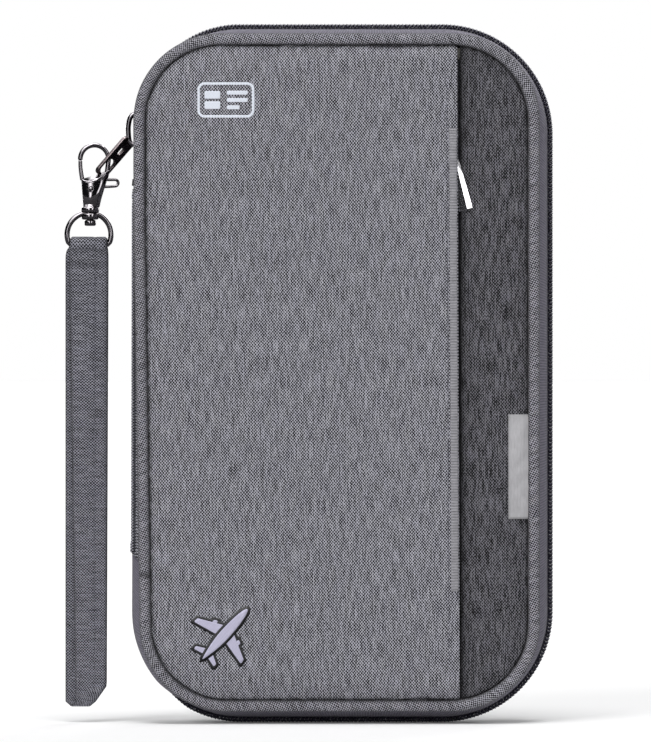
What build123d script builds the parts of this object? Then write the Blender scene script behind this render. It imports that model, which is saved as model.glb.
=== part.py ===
"""Zip-round passport holder wallet with a hidden front pocket and a wrist strap.

Closed and upright: +X to the right, +Z up, the front faces -Y. The origin is on the
bottom edge of the closed wallet, at mid thickness. Millimetres.
"""
from build123d import *
from math import cos, radians, sin, tan
import os

os.makedirs("parts", exist_ok=True)

# ---- driving dimensions ----
WALLET_TOP = 240.0
CHAIN_RIGHT = 74.9
CHAIN_LEFT = -70.5
CHAIN_KNEE = (-69.9, 178.0)  # the spine leans in above this point
CHAIN_LEAN = radians(5.5)
CHAIN_RADIUS = 38.0
CHAIN_TOP_LEFT_RADIUS = 34.0
KNEE_RADIUS = 60.0

COVER_RIGHT = 70.0
COVER_LEFT = -69.0
COVER_LEFT_BOTTOM = -66.5
COVER_BOTTOM = 4.2
COVER_TOP = 236.2
COVER_RADIUS = 30.0
COVER_KNEE_RADIUS = 300.0

PIPING_RADIUS = 2.05
PIPING_Y = 11.0
BOARD = (9.3, 10.1)  # distances from mid thickness, used on both covers
PAD_INNER = 10.2
BACK_FACE_Y = 13.3
LINING = (8.3, 8.8)
BINDING = (8.25, 8.9)
BAND_Y = 8.85
BAND_THICKNESS = 0.7
COIL_Y = (0.15, 2.4)
COIL_DEPTH = 2.0

FLAP = (-14.2, -13.4)
FLAP_EDGE_TOP_X = 41.6
FLAP_EDGE_BOTTOM_X = 42.6
FRONT_PAD_OUTER = -12.5

SPINE_BOTTOM = 57.9
SPINE_TOP = 183.8
CHAIN_START_TOP = 213.9
GAP = 0.6  # between the spine's pieces and the covers' zip tapes
SPINE_HALF_DEPTH = 8.5

POCKET_ZIP_X = 39.6
POCKET_ZIP_Y = -11.3
COIN_ZIP_Z = 212.0
COIN_ZIP_Y = 6.3
SMALL_COIL_HALF_DEPTH = 0.55
CHAIN_GAP_HALF = 0.55  # a zip's neck runs between the two coils

SLIDER_Z = 203.7
CLASP_X = -84.2  # the swivel's upright axis
RING_X = -84.6
STRAP_BAR_Z = 164.3
STRAP_BOTTOM = 5.2


# ---- helpers: outlines lie in the XZ plane, and slabs run along Y ----
def at_y(shape, y):
    """Moves a flat XZ shape to the plane at height y."""
    return Plane.XZ.offset(-y) * shape


def slab(shape, y0, y1):
    """Solid with a flat XZ outline between two Y planes."""
    low, high = sorted((y0, y1))
    return extrude(at_y(shape, high), amount=high - low, dir=(0, -1, 0))


def block(x, y, z):
    """Box between pairs of X, Y and Z values."""
    sides = [abs(pair[1] - pair[0]) for pair in (x, y, z)]
    middle = [(pair[0] + pair[1]) / 2 for pair in (x, y, z)]
    return Pos(*middle) * Box(*sides)


def rectangle(x, z, radius=0.0):
    """Flat rectangle between pairs of X and Z values, with rounded corners."""
    shape = Pos((x[0] + x[1]) / 2, (z[0] + z[1]) / 2) * Rectangle(x[1] - x[0], z[1] - z[0])
    return fillet(shape.vertices(), radius) if radius else shape


def capsule(start, end, radius):
    """Flat capsule around the line between two XZ points."""
    line = Line(start, end)
    return SlotCenterToCenter(line.length, 2 * radius, rotation=line.tangent_angle_at(0)).moved(
        Location(line @ 0.5)
    )


def rounded_polygon(corners, radii):
    """Flat polygon with its own radius at each corner."""
    shape = Polygon(*corners, align=None)
    for corner, radius in zip(corners, radii):
        nearest = shape.vertices().sort_by_distance(Vector(*corner))[0]
        shape = fillet(nearest, radius)
    return shape


def wire_rod(path, radius):
    """Round rod along a path."""
    start = Plane(path @ 0, z_dir=path % 0)
    return sweep(start * Circle(radius), path=path)


def ring(outline, outer, inner):
    """Flat ring between two insets of an outline function."""
    return outline(outer) - outline(inner)


# ---- outlines ----
def cover_outline(inset):
    """Outer edge of a cover's piping, moved inwards by inset."""
    left = COVER_LEFT + inset
    corners = [
        (COVER_LEFT_BOTTOM + inset, COVER_BOTTOM + inset),
        (COVER_RIGHT - inset, COVER_BOTTOM + inset),
        (COVER_RIGHT - inset, COVER_TOP - inset),
        (left, COVER_TOP - inset),
        (left, CHAIN_KNEE[1]),
    ]
    radius = COVER_RADIUS - inset
    return rounded_polygon(corners, [radius] * 4 + [COVER_KNEE_RADIUS])


def chain_outline(inset):
    """Outer edge of the zip chain, moved inwards by inset."""
    shift = inset / cos(CHAIN_LEAN)
    knee_x, knee_z = CHAIN_KNEE
    top = WALLET_TOP - inset
    corners = [
        (CHAIN_LEFT + inset, inset),
        (CHAIN_RIGHT - inset, inset),
        (CHAIN_RIGHT - inset, top),
        (knee_x + (top - knee_z) * tan(CHAIN_LEAN) + shift, top),
        (knee_x + shift, knee_z),
    ]
    radius = CHAIN_RADIUS - inset
    top_left = CHAIN_TOP_LEFT_RADIUS - inset
    return rounded_polygon(corners, [radius, radius, radius, top_left, KNEE_RADIUS])


def spine_side(z0, z1, half_depth=20.0):
    """Box around the left edge of the wallet between two heights."""
    return block((-90, -52), (-half_depth, half_depth), (z0, z1))


# ---- zip-round gusset ----
def zip_band(side):
    """Tape that runs from a cover's seam out to the zip coil; side is -1 front, +1 back."""
    seam, edge = side * BAND_Y, side * (COIL_Y[1] + 0.2)
    outer = loft([at_y(cover_outline(1.0), seam), at_y(chain_outline(COIL_DEPTH), edge)], ruled=True)
    inner = loft(
        [
            at_y(cover_outline(1.0 + BAND_THICKNESS), seam),
            at_y(chain_outline(COIL_DEPTH + BAND_THICKNESS), edge),
        ],
        ruled=True,
    )
    return outer - inner


def zipper_tape(side):
    """Tape of one cover, open over the spine."""
    return zip_band(side) - spine_side(SPINE_BOTTOM - GAP, CHAIN_START_TOP + GAP)


def zipper_coil(side):
    """Coil of one cover, open over the spine."""
    coil = slab(ring(chain_outline, 0, COIL_DEPTH), side * COIL_Y[0], side * COIL_Y[1])
    return coil - spine_side(SPINE_BOTTOM - GAP, CHAIN_START_TOP + GAP)


def tape_start():
    """The two short ends of tape above the spine panel, which carry the closed slider."""
    window = spine_side(SPINE_TOP + GAP, CHAIN_START_TOP, SPINE_HALF_DEPTH)
    return [zip_band(side) & window for side in (-1, 1)]


def coil_start():
    """The two short ends of coil that the slider stands on."""
    window = spine_side(SPINE_TOP + 3, CHAIN_START_TOP)
    outline = ring(chain_outline, 0, COIL_DEPTH)
    return [slab(outline, side * CHAIN_GAP_HALF, side * COIL_Y[1]) & window for side in (-1, 1)]


def zipper_stop():
    """Clip across both coils below the slider."""
    window = spine_side(SPINE_TOP + 0.6, SPINE_TOP + 2.8)
    return slab(ring(chain_outline, -0.5, COIL_DEPTH - 0.3), -2.9, 2.9) & window


def spine_panel():
    """Fabric gusset of the spine."""
    return slab(ring(chain_outline, 0, 1.1), -SPINE_HALF_DEPTH, SPINE_HALF_DEPTH) & spine_side(
        SPINE_BOTTOM, SPINE_TOP
    )


def spine_lining():
    """Lining behind the spine panel."""
    return slab(ring(chain_outline, 1.2, 1.7), -SPINE_HALF_DEPTH, SPINE_HALF_DEPTH) & spine_side(
        SPINE_BOTTOM + GAP, SPINE_TOP - GAP
    )


# ---- covers ----
def piping(side):
    """Fabric-covered cord round a cover."""
    path = at_y(cover_outline(PIPING_RADIUS), side * PIPING_Y).face().outer_wire()
    return wire_rod(path, PIPING_RADIUS)


def seam_binding(side):
    """Tape that binds the raw seam on the inside of a cover."""
    return slab(ring(cover_outline, 2.6, 5.0), side * BINDING[0], side * BINDING[1])


def lining(side):
    """Lining fabric on the inside of a cover."""
    return slab(cover_outline(5.1), side * LINING[0], side * LINING[1])


def back_board():
    """Stiffener of the back cover."""
    return slab(cover_outline(5.0), *BOARD)


def back_panel():
    """Padded outer panel of the back cover, a little proud of the piping."""
    return slab(cover_outline(4.3), PAD_INNER, BACK_FACE_Y)


def front_board():
    """Stiffener of the front cover, with the hidden pocket's mouth cut in it."""
    mouth = rectangle((POCKET_ZIP_X - 3.4, POCKET_ZIP_X + 3.4), (34, 212), 1.0)
    return slab(cover_outline(5.0) - mouth, -BOARD[0], -BOARD[1])


def pocket_backing():
    """Padded layer under the pocket panel."""
    left_part = rectangle((-90, POCKET_ZIP_X - 4.2), (-10, 250))
    return slab(cover_outline(4.6) & left_part, -PAD_INNER, FRONT_PAD_OUTER)


def side_panel():
    """Padded dark panel beside the hidden pocket."""
    right_part = rectangle((POCKET_ZIP_X + 5.4, 90), (-10, 250))
    return slab(cover_outline(4.3) & right_part, -PAD_INNER, FRONT_PAD_OUTER)


def pocket_panel():
    """Outer panel whose free upright edge covers the hidden pocket's zip."""
    left_part = Polygon(
        (-90, -10),
        (FLAP_EDGE_BOTTOM_X, -10),
        (FLAP_EDGE_TOP_X, 250),
        (-90, 250),
        align=None,
    )
    return slab(cover_outline(4.3) & left_part, *FLAP)


def pocket_edge_trim():
    """Narrow binding along the free edge of the pocket panel."""
    return block((39.9, 41.8), (FLAP[0] - 0.35, FLAP[0] - 0.02), (45.4, 203.5))


def woven_label():
    """Blank label sewn into the side seam."""
    y = FRONT_PAD_OUTER
    return block((59.1, 66.4), (y - 0.4, y - 0.05), (70.1, 105.9))


# ---- small zips ----
def straight_tapes(low, high, half_width, y):
    """Two flat tapes either side of a chain that runs along local Z."""
    return [
        block((side * CHAIN_GAP_HALF, side * half_width), y, (low, high)) for side in (-1, 1)
    ]


def straight_coils(low, high):
    """Two coils of a small chain that runs along local Z, facing local -Y."""
    depth = (-SMALL_COIL_HALF_DEPTH, SMALL_COIL_HALF_DEPTH - 0.05)
    return [block((side * CHAIN_GAP_HALF, side * 2.1), depth, (low, high)) for side in (-1, 1)]


def slider_plate(width, length, y0, y1):
    """Shield-shaped plate, wider at its neck end (local +Z)."""
    half, end = width / 2, length / 2
    corners = [(-0.36 * width, -end), (0.36 * width, -end), (half, 0.1 * length),
               (0.42 * width, end), (-0.42 * width, end), (-half, 0.1 * length)]
    return slab(rounded_polygon(corners, [1.0, 1.0, 1.2, 1.0, 1.0, 1.2]), y0, y1)


def zip_slider(width, length, coil_half, plate=0.6):
    """Slider on a chain along local Z: two plates, side flanges and the neck between them."""
    outer = -(coil_half + 0.15)
    inner = coil_half + 0.75
    top = slider_plate(width, length, outer - plate, outer)
    bottom = slider_plate(width * 0.92, length, inner, inner + plate)
    neck_z = (0.28 * length, 0.46 * length)
    neck = block((-0.45, 0.45), (outer, inner), neck_z)
    reach = (-0.3 * length, 0.3 * length)
    flange_y = (outer, outer + 0.45)
    flange = block((0.40 * width, 0.46 * width), flange_y, reach)
    return top + bottom + neck + flange + mirror(flange, about=Plane.YZ)


POCKET_ZIP = Pos(POCKET_ZIP_X, POCKET_ZIP_Y, 0)
POCKET_SLIDER_Z = 201.0
PULL_STUD_Z = 197.6
PULL_TILT = 13.0
PULL_LENGTH = 22.4
PULL_Y = (-13.2, -12.7)


def pocket_zip_tape():
    """Tapes of the hidden pocket's zip."""
    y = (SMALL_COIL_HALF_DEPTH, SMALL_COIL_HALF_DEPTH + 0.5)
    return [POCKET_ZIP * tape for tape in straight_tapes(24, 216, 4.1, y)]


def pocket_zip_coil():
    """Coils of the hidden pocket's zip."""
    return [POCKET_ZIP * coil for coil in straight_coils(24, 214)]


def pocket_zip_slider():
    """Slider of the hidden pocket, with the stud that its pull turns on."""
    body = Pos(POCKET_ZIP_X, POCKET_ZIP_Y, POCKET_SLIDER_Z) * zip_slider(5.8, 9.0, SMALL_COIL_HALF_DEPTH)
    stud_centre = (POCKET_ZIP_X, PULL_STUD_Z)
    outer = POCKET_ZIP_Y - SMALL_COIL_HALF_DEPTH - 0.75
    stud = slab(Pos(*stud_centre) * Circle(0.6), PULL_Y[0], outer)
    return body + stud


def pocket_zip_pull():
    """Tapered flat pull that hangs from the hidden pocket's slider, tilted outwards."""
    outline = rounded_polygon(
        [(-1.35, 1.4), (1.35, 1.4), (2.6, -PULL_LENGTH), (-2.6, -PULL_LENGTH)], [1.1, 1.1, 0.4, 0.4]
    )
    outline -= Circle(0.65)
    outline = Pos(POCKET_ZIP_X, PULL_STUD_Z) * Rot(0, 0, PULL_TILT) * outline
    return slab(outline, *PULL_Y)


# ---- inside of the covers ----
def document_pocket():
    """Long slip pocket on the back cover for boarding passes."""
    return slab(rectangle((-50, 62), (12, 199), 4) & cover_outline(7.0), 7.6, 8.1)


def passport_pocket():
    """Passport sleeve on the back cover."""
    return slab(rectangle((-46, 58), (14, 150), 4), 6.9, 7.4)


def coin_pocket():
    """Front of the coin pocket below its zip."""
    return slab(rectangle((-48, 60), (156, COIN_ZIP_Z - 4.0), 3), 6.9, 7.4)


COIN_ZIP = Pos(0, COIN_ZIP_Y, COIN_ZIP_Z) * Rot(0, 90, 0)  # local Z becomes +X
COIN_SLIDER_X = 46.0
COIN_BAIL_X = (43.0, 47.0)
COIN_PULL_Y = 4.6


def coin_zip_tape():
    """Tapes of the coin pocket's zip."""
    y = (SMALL_COIL_HALF_DEPTH + 0.05, SMALL_COIL_HALF_DEPTH + 0.55)
    return [COIN_ZIP * tape for tape in straight_tapes(-50, 58, 3.9, y)]


def coin_zip_coil():
    """Coils of the coin pocket's zip."""
    return [COIN_ZIP * coil for coil in straight_coils(-49, 55)]


def coin_zip_slider():
    """Slider of the coin pocket with a small bail for its pull."""
    body = COIN_ZIP * Pos(0, 0, COIN_SLIDER_X) * zip_slider(5.6, 8.4, SMALL_COIL_HALF_DEPTH, 0.5)
    outer = COIN_ZIP_Y - SMALL_COIL_HALF_DEPTH - 0.55
    crown = COIN_PULL_Y - 0.8
    left, right = COIN_BAIL_X
    bail = Polyline((left, outer), (left, crown), (right, crown), (right, outer))
    path = fillet(bail.vertices().sort_by(Axis.Y)[:2], 0.6)
    return body + Pos(0, 0, COIN_ZIP_Z) * wire_rod(path, 0.35)


def coin_zip_pull():
    """Short pull of the coin pocket, lying along the chain."""
    hole = COIN_BAIL_X[0]
    outline = rectangle((hole - 7.2, hole + 1.2), (-1.7, 1.7), 1.1)
    outline -= Pos(hole, 0) * Rectangle(1.4, 1.6)
    outline -= Pos(hole - 4.6, 0) * fillet(Rectangle(2.6, 1.4).vertices(), 0.6)
    return Pos(0, 0, COIN_ZIP_Z) * slab(outline, COIN_PULL_Y - 0.25, COIN_PULL_Y + 0.25)


PEN_LOOP_X = -57.5
PEN_LOOP_Y = 2.2
PEN_LOOP_RADIUS = 5.2


def pen_loop():
    """Elastic pen loop beside the spine, on its sewn foot."""
    tube = Circle(PEN_LOOP_RADIUS) - Circle(PEN_LOOP_RADIUS - 0.7)
    loop = Pos(PEN_LOOP_X, PEN_LOOP_Y, 95) * extrude(tube, amount=30)
    foot = block((-62.5, -51), (7.35, 8.2), (95, 125))
    return loop + foot


def note_pocket():
    """Long slip pocket on the front cover."""
    return slab(rectangle((-58, 62), (12, 212), 4) & cover_outline(7.0), -8.1, -7.6)


CARD_SLOT_TOPS = (172, 154, 136, 118)


def card_slot(index):
    """One of the stepped card slots on the front cover, counted from the lining."""
    outer = -7.5 + 0.5 * index
    return slab(rectangle((-46, 52), (60, CARD_SLOT_TOPS[index]), 2), outer, outer + 0.4)


# ---- main slider and its pull ----
CHAIN_DIRECTION = Vector(sin(CHAIN_LEAN), 0, cos(CHAIN_LEAN))
CHAIN_CENTRE = Vector(
    CHAIN_KNEE[0] + (SLIDER_Z - CHAIN_KNEE[1]) * tan(CHAIN_LEAN) + COIL_DEPTH / 2, 0, SLIDER_Z
)
# local Z runs down the chain, local -Y points out of the spine
SLIDER_PLANE = Plane(origin=CHAIN_CENTRE, x_dir=(0, 1, 0), z_dir=-CHAIN_DIRECTION)
BAIL_RADIUS = 0.45
TAB_PIVOT = Vector(-71.7, 0, 199.0)
TAB_DIRECTION = Vector(-30.6, 0, -35.4).normalized()
TAB_TILT = 58.0  # turn of the tab's face away from the spine's plane
TAB_WIDTH = 5.4
TAB_THICKNESS = 1.1
TAB_END = 13.6
EYE_AT = 9.9


def slider_body():
    """Main zip slider."""
    return SLIDER_PLANE.location * zip_slider(9.0, 11.4, COIL_DEPTH / 2, 1.0)


def slider_bail():
    """Wire loop on the main slider that carries the pull tab."""
    path = Spline(
        (-67.9, 0, 209.0), (-70.9, 0, 206.6), (-72.3, 0, 202.6), (-71.8, 0, 199.4), (-69.6, 0, 198.0)
    )
    return wire_rod(path, BAIL_RADIUS) - slider_body()


def pull_tab():
    """Flat pull tab with a slot for the bail and a long eye for the clasp."""
    half = TAB_WIDTH / 2
    outline = rounded_polygon(
        [(-1.7, -half * 0.7), (TAB_END, -half), (TAB_END, half), (-1.7, half * 0.7)], [1.0, 2.4, 2.4, 1.0]
    )
    outline -= Pos(0.15, 0) * Rectangle(2.3, 2.5)
    outline -= Pos(EYE_AT, 0) * fillet(Rectangle(5.2, 3.3).vertices(), 1.5)
    tab = extrude(outline, amount=TAB_THICKNESS / 2, both=True)
    frame = Plane(origin=TAB_PIVOT, x_dir=TAB_DIRECTION, z_dir=(0, -1, 0))
    return frame.location * Rot(TAB_TILT, 0, 0) * tab


# ---- clasp ----
HOOK_CENTRE = (-82.75, 193.5)
HOOK_RADIUS = 4.75
HOOK_WIRE = 0.65
PIVOT = (-83.9, 183.2)
CHEEK_Y = (0.85, 2.6)
SLOT_FLOOR = 180.2
SPRING_X = -81.4
SPRING_RADIUS = 0.56
SPRING_WIRE = 0.22
SPRING_PITCH = 0.58


def clasp_hook():
    """Cast clasp: round hook, two cheeks with the gate's slot between them, and a collar."""
    x, z = HOOK_CENTRE
    right = Line((x + HOOK_RADIUS, z - 6.6), (x + HOOK_RADIUS, z))
    arc = CenterArc((x, z), HOOK_RADIUS, 0, 182)
    path = Plane.XZ * Wire((right + arc).edges())
    opening = capsule((x, z), (x, z - 3.5), HOOK_RADIUS - HOOK_WIRE)
    outline = Polygon((-88.0, 188.0), (-86.9, 176.9), (-81.5, 176.9), (-77.2, 187.4), align=None)
    shell = slab(outline - opening, -CHEEK_Y[1], CHEEK_Y[1])
    gate_slot = block((-90, -79.2), (-CHEEK_Y[0], CHEEK_Y[0]), (SLOT_FLOOR, 192))
    lever_slot = block((-80, -70), (-CHEEK_Y[0], CHEEK_Y[0]), (SLOT_FLOOR, 186.4))
    pin_hole = slab(Pos(*PIVOT) * Circle(0.7), -4, 4)
    collar = Pos(CLASP_X, 0, 176.1) * Cylinder(3.1, 1.9)
    rivet_seat = Pos(CLASP_X, 0, 176.3) * Cylinder(1.0, 2.6)
    casting = shell + collar - gate_slot - lever_slot - pin_hole - rivet_seat
    return casting + wire_rod(path, HOOK_WIRE)


def clasp_pin():
    """Pivot pin of the gate, flush with both cheeks."""
    return slab(Pos(*PIVOT) * Circle(0.7), -CHEEK_Y[1], CHEEK_Y[1])


def clasp_gate():
    """Thin gate that closes the hook, with its thumb lever."""
    x, z = PIVOT
    tip = (HOOK_CENTRE[0] - HOOK_RADIUS, HOOK_CENTRE[1] - 1.6)
    elbow = (tip[0] + 0.3, 187.6)
    outline = capsule(tip, elbow, 0.65) + capsule(elbow, (x, z), 0.9)
    outline += capsule((x, z), (-76.0, 184.8), 1.4)
    outline -= capsule((-78.2, 184.35), (-76.1, 184.8), 0.65)
    outline += Pos(x, z) * Circle(1.7)
    outline -= Pos(x, z) * Circle(0.75)
    return slab(outline, -0.6, 0.6)


def gate_spring():
    """Small closing spring between the slot's floor and the gate's thumb lever."""
    path = Helix(pitch=SPRING_PITCH, height=2 * SPRING_PITCH, radius=SPRING_RADIUS)
    return Pos(SPRING_X, 0, SLOT_FLOOR + SPRING_WIRE + 0.05) * wire_rod(path, SPRING_WIRE)


def swivel_rivet():
    """Rivet that hangs the strap ring under the clasp's collar."""
    head = Pos(CLASP_X, 0, 171.6) * Cylinder(1.95, 2.0)
    shank = Pos(CLASP_X, 0, 175.1) * Cylinder(1.0, 5.0)
    return head + shank


RING_WIRE = 0.85
RING_RADIUS = 7.55
RING_CENTRE_Z = 167.6


def strap_ring():
    """Cast D-ring with the boss that turns on the rivet."""
    left, right = RING_X - RING_RADIUS, RING_X + RING_RADIUS
    sides = Polyline(
        (left, RING_CENTRE_Z), (left, STRAP_BAR_Z), (right, STRAP_BAR_Z), (right, RING_CENTRE_Z)
    )
    sides = fillet(sides.vertices().sort_by(Axis.Y)[:2], 1.5)
    arc = CenterArc((RING_X, RING_CENTRE_Z), RING_RADIUS, 0, 180)
    path = Plane.XZ * Wire(sides.edges() + arc.edges())
    boss = block((CLASP_X - 3.4, CLASP_X + 3.4), (-2.5, 2.5), (172.75, 174.95))
    boss = fillet(boss.edges().filter_by(Axis.Z), 0.8)
    bore = Pos(CLASP_X, 0, 174) * Cylinder(1.05, 6)
    rim = Pos(CLASP_X, 0, 176) * Cylinder(4.5, 2.1)
    head_room = Pos(CLASP_X, 0, 171.6) * Cylinder(2.1, 2.25)
    return wire_rod(path, RING_WIRE) - rim - head_room + boss - bore


# ---- wrist strap ----
STRAP_LAYER = 1.3
STRAP_EYE_RADIUS = 1.3
STRAP_GAP_HALF = 0.5


def strap_section():
    """Side view of the strap: an eye round the ring's bar, then two layers to a closed end."""
    eye = Circle(STRAP_EYE_RADIUS + STRAP_LAYER)
    outer = STRAP_GAP_HALF + STRAP_LAYER
    low = STRAP_BOTTOM + outer
    high = STRAP_BAR_Z - 2.6
    layers = capsule((0, low), (0, high), outer) - capsule((0, low), (0, high - 1.5), STRAP_GAP_HALF)
    return Pos(0, STRAP_BAR_Z) * eye + layers - Pos(0, STRAP_BAR_Z) * Circle(STRAP_EYE_RADIUS)


def wrist_strap():
    """Folded fabric strap, narrow in the ring and wide below its cross stitch."""
    side_view = extrude(Plane.YZ * strap_section(), amount=100, both=True)
    front_view = Polygon(
        (-92.9, 150), (-92.9, STRAP_BOTTOM), (-82.5, STRAP_BOTTOM), (-77.9, 12), (-77.7, 157),
        (-78.1, 160), (-78.1, 168), (-91.1, 168), (-91.1, 160), (-92.6, 157),
        align=None,
    )
    return side_view & slab(front_view, -5, 5)


# ---- every node ----
NODES = {
    "back_board": back_board,
    "back_panel": back_panel,
    "back_piping": lambda: piping(1),
    "back_lining": lambda: lining(1),
    "back_seam_binding": lambda: seam_binding(1),
    "zipper_tape_back": lambda: zipper_tape(1),
    "zipper_coil_back": lambda: zipper_coil(1),
    "document_pocket": document_pocket,
    "passport_pocket": passport_pocket,
    "coin_pocket": coin_pocket,
    "coin_zip_tape": coin_zip_tape,
    "coin_zip_coil": coin_zip_coil,
    "coin_zip_slider": coin_zip_slider,
    "coin_zip_pull": coin_zip_pull,
    "pen_loop": pen_loop,
    "spine_panel": spine_panel,
    "spine_lining": spine_lining,
    "zipper_tape_start": tape_start,
    "zipper_coil_start": coil_start,
    "zipper_stop": zipper_stop,
    "front_board": front_board,
    "pocket_backing": pocket_backing,
    "side_panel": side_panel,
    "pocket_panel": pocket_panel,
    "pocket_edge_trim": pocket_edge_trim,
    "woven_label": woven_label,
    "front_piping": lambda: piping(-1),
    "front_lining": lambda: lining(-1),
    "front_seam_binding": lambda: seam_binding(-1),
    "zipper_tape_front": lambda: zipper_tape(-1),
    "zipper_coil_front": lambda: zipper_coil(-1),
    "note_pocket": note_pocket,
    "pocket_zip_tape": pocket_zip_tape,
    "pocket_zip_coil": pocket_zip_coil,
    "pocket_zip_slider": pocket_zip_slider,
    "pocket_zip_pull": pocket_zip_pull,
    "slider_body": slider_body,
    "slider_bail": slider_bail,
    "pull_tab": pull_tab,
    "clasp_hook": clasp_hook,
    "clasp_pin": clasp_pin,
    "clasp_gate": clasp_gate,
    "gate_spring": gate_spring,
    "swivel_rivet": swivel_rivet,
    "strap_ring": strap_ring,
    "wrist_strap": wrist_strap,
}
for number in range(len(CARD_SLOT_TOPS)):
    NODES[f"card_slot_{number + 1}"] = lambda number=number: card_slot(number)


def as_solids(made):
    """Compound of the separate solids of one node."""
    shapes = made if isinstance(made, list) else [made]
    return Compound(children=[solid for shape in shapes for solid in shape.solids()])


for node, build in NODES.items():
    export_step(as_solids(build()), f"parts/{node}.step")
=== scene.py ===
"""Looks of a zip-round passport wallet: fabric, zips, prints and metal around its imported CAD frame."""
import math

import bmesh
import bpy
import numpy as np
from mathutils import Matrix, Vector, noise
from mathutils.bvhtree import BVHTree

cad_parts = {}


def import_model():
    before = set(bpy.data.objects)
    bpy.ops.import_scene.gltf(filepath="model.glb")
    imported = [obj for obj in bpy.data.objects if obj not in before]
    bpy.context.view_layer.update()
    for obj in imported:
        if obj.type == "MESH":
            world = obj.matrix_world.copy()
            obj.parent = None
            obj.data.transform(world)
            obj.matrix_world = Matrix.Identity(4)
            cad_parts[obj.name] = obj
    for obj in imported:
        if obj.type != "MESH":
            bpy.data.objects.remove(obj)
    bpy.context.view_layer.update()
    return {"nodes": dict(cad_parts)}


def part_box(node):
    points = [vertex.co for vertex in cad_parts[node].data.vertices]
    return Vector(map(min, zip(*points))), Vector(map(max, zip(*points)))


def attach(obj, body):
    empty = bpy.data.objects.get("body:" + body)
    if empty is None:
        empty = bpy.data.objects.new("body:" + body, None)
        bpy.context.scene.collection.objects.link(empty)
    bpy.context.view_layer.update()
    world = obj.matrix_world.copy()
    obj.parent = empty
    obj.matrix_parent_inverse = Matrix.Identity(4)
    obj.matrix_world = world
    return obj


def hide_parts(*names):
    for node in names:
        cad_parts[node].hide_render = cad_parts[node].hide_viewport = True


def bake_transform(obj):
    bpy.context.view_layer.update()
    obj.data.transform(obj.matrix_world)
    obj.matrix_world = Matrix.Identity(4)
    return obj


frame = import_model()
NODES = frame["nodes"]
MM = 0.001

# ---- driving sizes, in metres: edges from the frame, and the rest of the pattern from them ----
PIPING_LOW, PIPING_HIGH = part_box("front_piping")
CHAIN_LOW, CHAIN_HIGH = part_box("zipper_coil_back")
SPINE_LOW, SPINE_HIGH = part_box("spine_panel")
START_LOW, START_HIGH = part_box("zipper_tape_start")
SLANT = 2.5 * MM  # the covers' lower left corner stands this far inside the upper one
KNEE_Z = 178 * MM
KNEE_X = -69.9 * MM
LEAN = math.radians(5.5)
COVER_RADIUS = 30 * MM
CHAIN_RADIUS = 38 * MM
CHAIN_TOP_LEFT_RADIUS = 34 * MM
KNEE_RADIUS = 60 * MM
COVER_KNEE_RADIUS = 300 * MM
PIPING_RADIUS = 2.05 * MM
SEAM_INSET = 4.0 * MM  # from a piping's outer edge to the panel's sewn edge
COIL_DEPTH = 2.0 * MM
COIL_PITCH = 1.27 * MM
WEAVE = (0.49 * MM, 0.56 * MM)  # one thread's pitch across and up
END_GAP = 0.5 * MM  # between the chain on the covers and its start on the spine
PIPING_Y = 11.0 * MM  # from the wallet's middle plane
LINING_Y = 8.6 * MM
SEAM_DEPTH = 8.85 * MM  # where the zip tapes are sewn in
FRONT, BACK = -1, 1  # sides of the wallet along Y
SIDES = ((FRONT, "front"), (BACK, "back"))
COVER = {FRONT: "front_cover", BACK: "back_cover"}
BOX_CORNERS = ((-1, -1), (1, -1), (1, 1), (-1, 1))  # round a rectangle, as shares of its half sizes


# ---- outlines in the XZ plane, counter-clockwise from the front ----
def corner_arcs(corners, radii):
    """The arc in each corner of a polygon, as (centre, radius, first angle, turn)."""
    corners = np.array(corners, float)
    arcs = []
    for i, (corner, radius) in enumerate(zip(corners, radii)):
        before = corner - corners[i - 1]
        after = corners[(i + 1) % len(corners)] - corner
        before, after = before / np.linalg.norm(before), after / np.linalg.norm(after)
        turn = math.atan2(before[0] * after[1] - before[1] * after[0], before @ after)
        start = corner - before * radius * math.tan(turn / 2)
        inward = np.array([-before[1], before[0]])
        first = math.atan2(-inward[1], -inward[0])
        arcs.append((start + inward * radius, radius, first, turn))
    return arcs


def rounded(corners, radii, steps):
    """Points and outward normals round a polygon with rounded corners; steps are (arc, run) for each."""
    arcs = corner_arcs(corners, radii)
    points, normals = [], []
    for i, (arc_steps, run_steps) in enumerate(steps):
        centre, radius, first, turn = arcs[i]
        for k in range(arc_steps + 1):
            angle = first + turn * k / arc_steps
            normals.append([math.cos(angle), math.sin(angle)])
            points.append(centre + radius * np.array(normals[-1]))
        centre, radius, first, _ = arcs[(i + 1) % len(arcs)]
        goal = centre + radius * np.array([math.cos(first), math.sin(first)])
        leave = points[-1]
        for k in range(1, run_steps):
            points.append(leave + (goal - leave) * k / run_steps)
            normals.append(normals[-1])
    return np.array(points), np.array(normals)


OUTLINE_STEPS = [(32, 60), (32, 130), (32, 56), (32, 26), (8, 100)]  # bottom, right, top, left, knee
LEFT_SIDE = -40 * MM  # the outlines' stations left of this are those along the spine


def cover_outline(inset):
    """A cover's outline, moved inwards from the piping's outer edge."""
    left, right = PIPING_LOW.x + inset, PIPING_HIGH.x - inset
    low, high = PIPING_LOW.z + inset, PIPING_HIGH.z - inset
    corners = [(left + SLANT, low), (right, low), (right, high), (left, high), (left, KNEE_Z)]
    radius = COVER_RADIUS - inset
    return rounded(corners, [radius] * 4 + [COVER_KNEE_RADIUS], OUTLINE_STEPS)


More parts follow.
